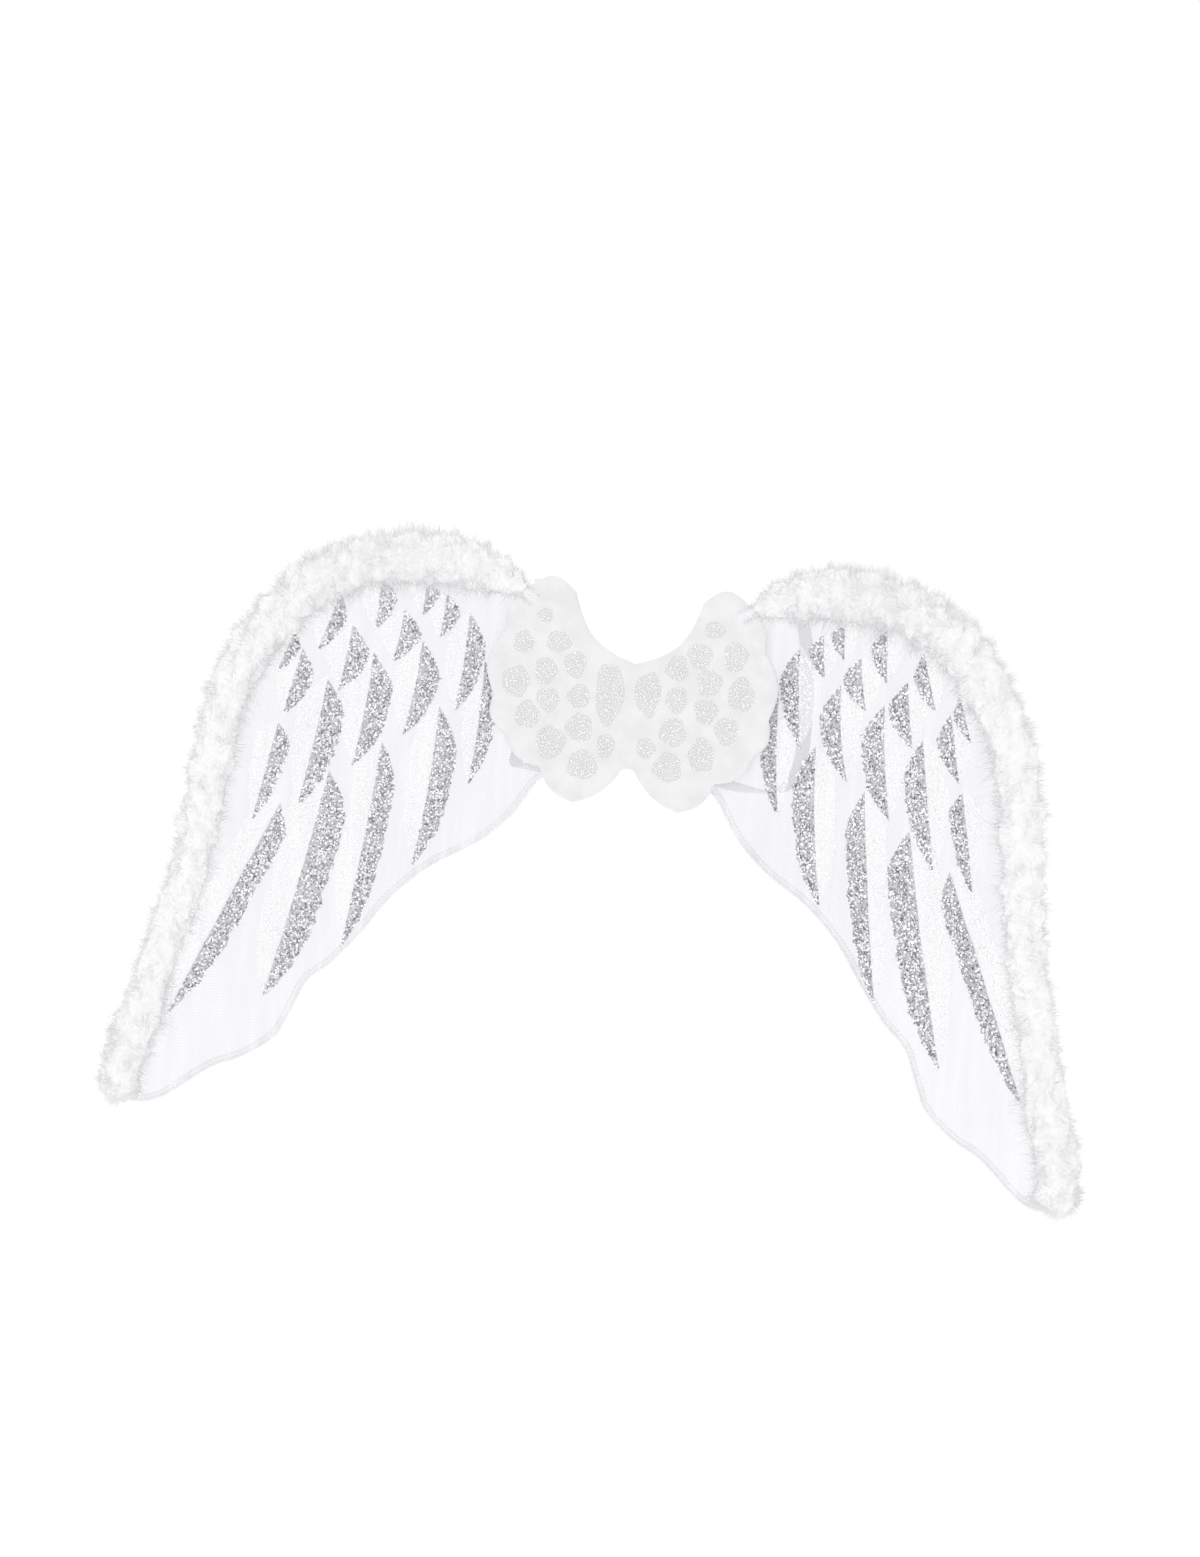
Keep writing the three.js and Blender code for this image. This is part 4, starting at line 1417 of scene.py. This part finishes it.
class WINGS_OT_feathers(bpy.types.Operator):
    """Prints the glitter feathers on both wings"""

    bl_idname = "wings.feathers"
    bl_label = "Glitter feathers"

    def execute(self, context):
        for side_name, side in SIDES:
            for made in feathers_pieces(side_name, side):
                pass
        return {"FINISHED"}


class WINGS_OT_marabou(bpy.types.Operator):
    """Makes the marabou trims along the leading edges"""

    bl_idname = "wings.marabou"
    bl_label = "Marabou trims"

    def execute(self, context):
        for side_name, side in SIDES:
            for made in marabou_pieces(side_name, side):
                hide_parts(f"marabou_trim_{side_name}")
        thread_loop_piece()
        return {"FINISHED"}


class WINGS_OT_patch(bpy.types.Operator):
    """Makes the scalloped felt patch and its glitter spots"""

    bl_idname = "wings.patch"
    bl_label = "Scalloped patch"

    def execute(self, context):
        patch, spots, area = patch_pieces()
        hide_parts("scalloped_patch")
        return {"FINISHED"}


class WINGS_OT_harness(bpy.types.Operator):
    """Makes the shoulder elastics and the tape sleeve, and finishes the wires"""

    bl_idname = "wings.harness"
    bl_label = "Harness and wires"

    def execute(self, context):
        wire = coated_wire_material("pvc_coated_steel_wire")
        for side_name, side in SIDES:
            band, tacks = elastic_pieces(side_name, side)
            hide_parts(f"shoulder_elastic_{side_name}")
            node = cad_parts[f"wire_loop_{side_name}"]
            for slot in node.material_slots:
                slot.material = wire
        sleeve = sleeve_piece()
        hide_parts("wire_sleeve")
        return {"FINISHED"}


class WINGS_OT_stage(bpy.types.Operator):
    """Sets the floor, the studio lights and the camera"""

    bl_idname = "wings.stage"
    bl_label = "Stage"

    def execute(self, context):
        stage = look("stage")
        scene = context.scene
        mesh = bpy.data.meshes.new("floor")
        wide, down = 14.0, -stage.depth
        corners = [(-wide, -wide, down), (wide, -wide, down), (wide, wide, down), (-wide, wide, down)]
        mesh.from_pydata(corners, [], [(0, 1, 2, 3)])
        mesh.materials.append(paper_material("seamless_paper", stage.floor))
        floor = bpy.data.objects.new("floor", mesh)
        scene.collection.objects.link(floor)

        world = bpy.data.worlds.new("studio")
        world.use_nodes = True
        tree = world.node_tree
        tree.nodes.clear()
        place = add(tree, "ShaderNodeTexCoord").outputs["Generated"]
        height = add(tree, "ShaderNodeSeparateXYZ", {0: place}).outputs[2]
        rise = add(tree, "ShaderNodeMapRange", {0: height, 1: -0.4, 2: 0.9}).outputs[0]
        low, high = linear("#F6F6F8"), linear("#FFFFFF")
        shade = add(tree, "ShaderNodeMix", {0: rise, 6: low, 7: high}, data_type="RGBA")
        lit = add(tree, "ShaderNodeBackground", {0: shade.outputs[2], 1: 0.95 * stage.lights})
        seen = add(tree, "ShaderNodeBackground", {0: linear("#FFFFFF"), 1: 1.02})
        ray = add(tree, "ShaderNodeLightPath")
        camera_ray = ray.outputs["Is Camera Ray"]
        both = add(tree, "ShaderNodeMixShader", {0: camera_ray, 1: lit.outputs[0], 2: seen.outputs[0]})
        add(tree, "ShaderNodeOutputWorld", {0: both.outputs[0]})
        scene.world = world

        lamps = [
            # name, place, size, watts
            ("key", (-1.9, -2.3, 2.3), 0.7, 10),
            ("fill", (2.4, -2.2, 0.7), 1.2, 4),
            ("top", (0.2, 0.4, 2.6), 1.6, 6),
            ("rear", (0.6, 2.6, 1.2), 1.6, 4),
        ]
        for name, spot, size, watts in lamps:
            lamp = bpy.data.lights.new(name, "AREA")
            lamp.shape = "DISK"
            lamp.size = size
            lamp.energy = watts * stage.lights
            held = bpy.data.objects.new(name, lamp)
            held.location = spot
            held.rotation_euler = (-Vector(spot)).to_track_quat("-Z", "Y").to_euler()
            scene.collection.objects.link(held)

        # The camera stands 3 m from the wings, 13 degrees round to the right and 6 degrees up, and is held
        # 4.2 degrees out of level. It looks past the join, by so many mm across and up at its distance.
        away, off_back, tilt = 3.0, 0.0045, math.radians(4.2)
        past_across, past_up = -22.96, -44.45
        round_by, up_by = math.radians(13.0), math.radians(6.0)
        back = Vector(
            (math.sin(round_by) * math.cos(up_by), -math.cos(round_by) * math.cos(up_by), math.sin(up_by))
        )
        camera = bpy.data.cameras.new("camera")
        camera.sensor_width = 36
        camera.lens = 99.1
        held = bpy.data.objects.new("camera", camera)
        held.location = Vector((0, -off_back, 0)) + back * away
        level = (-back).to_track_quat("-Z", "Y") @ Quaternion((0, 0, 1), tilt)
        middle = Vector((past_across, past_up, -away / MM))
        turn = level @ Vector((0, 0, -1)).rotation_difference(middle)
        held.rotation_euler = turn.to_euler()
        scene.collection.objects.link(held)
        scene.camera = held
        scene.view_settings.view_transform = "Standard"
        return {"FINISHED"}


class WINGS_PT_panel(bpy.types.Panel):
    """The wings' settings and steps."""

    bl_label = "Angel wings"
    bl_idname = "WINGS_PT_panel"
    bl_space_type = "VIEW_3D"
    bl_region_type = "UI"
    bl_category = "Wings"

    def draw(self, context):
        for name in GROUPS:
            group = look(name)
            box = self.layout.box()
            for key in group.__annotations__:
                box.prop(group, key)
        for step in STEPS:
            self.layout.operator(step.bl_idname)


GROUPS = {
    "sizes": WingSizes,
    "cloth": ClothLook,
    "marabou": MarabouLook,
    "glitter": GlitterLook,
    "harness": HarnessLook,
    "stage": StageLook,
}
STEPS = (
    WINGS_OT_cloth,
    WINGS_OT_feathers,
    WINGS_OT_marabou,
    WINGS_OT_patch,
    WINGS_OT_harness,
    WINGS_OT_stage,
)
CLASSES = (*GROUPS.values(), *STEPS, WINGS_PT_panel)


def register():
    for each in CLASSES:
        bpy.utils.register_class(each)
    for name, group in GROUPS.items():
        setattr(bpy.types.Scene, f"wings_{name}", bpy.props.PointerProperty(type=group))


def unregister():
    for name in GROUPS:
        delattr(bpy.types.Scene, f"wings_{name}")
    for each in reversed(CLASSES):
        bpy.utils.unregister_class(each)


def main():
    register()
    bpy.ops.wings.cloth()
    bpy.ops.wings.feathers()
    bpy.ops.wings.marabou()
    bpy.ops.wings.patch()
    bpy.ops.wings.harness()
    bpy.ops.wings.stage()


if __name__ == "__main__":
    main()
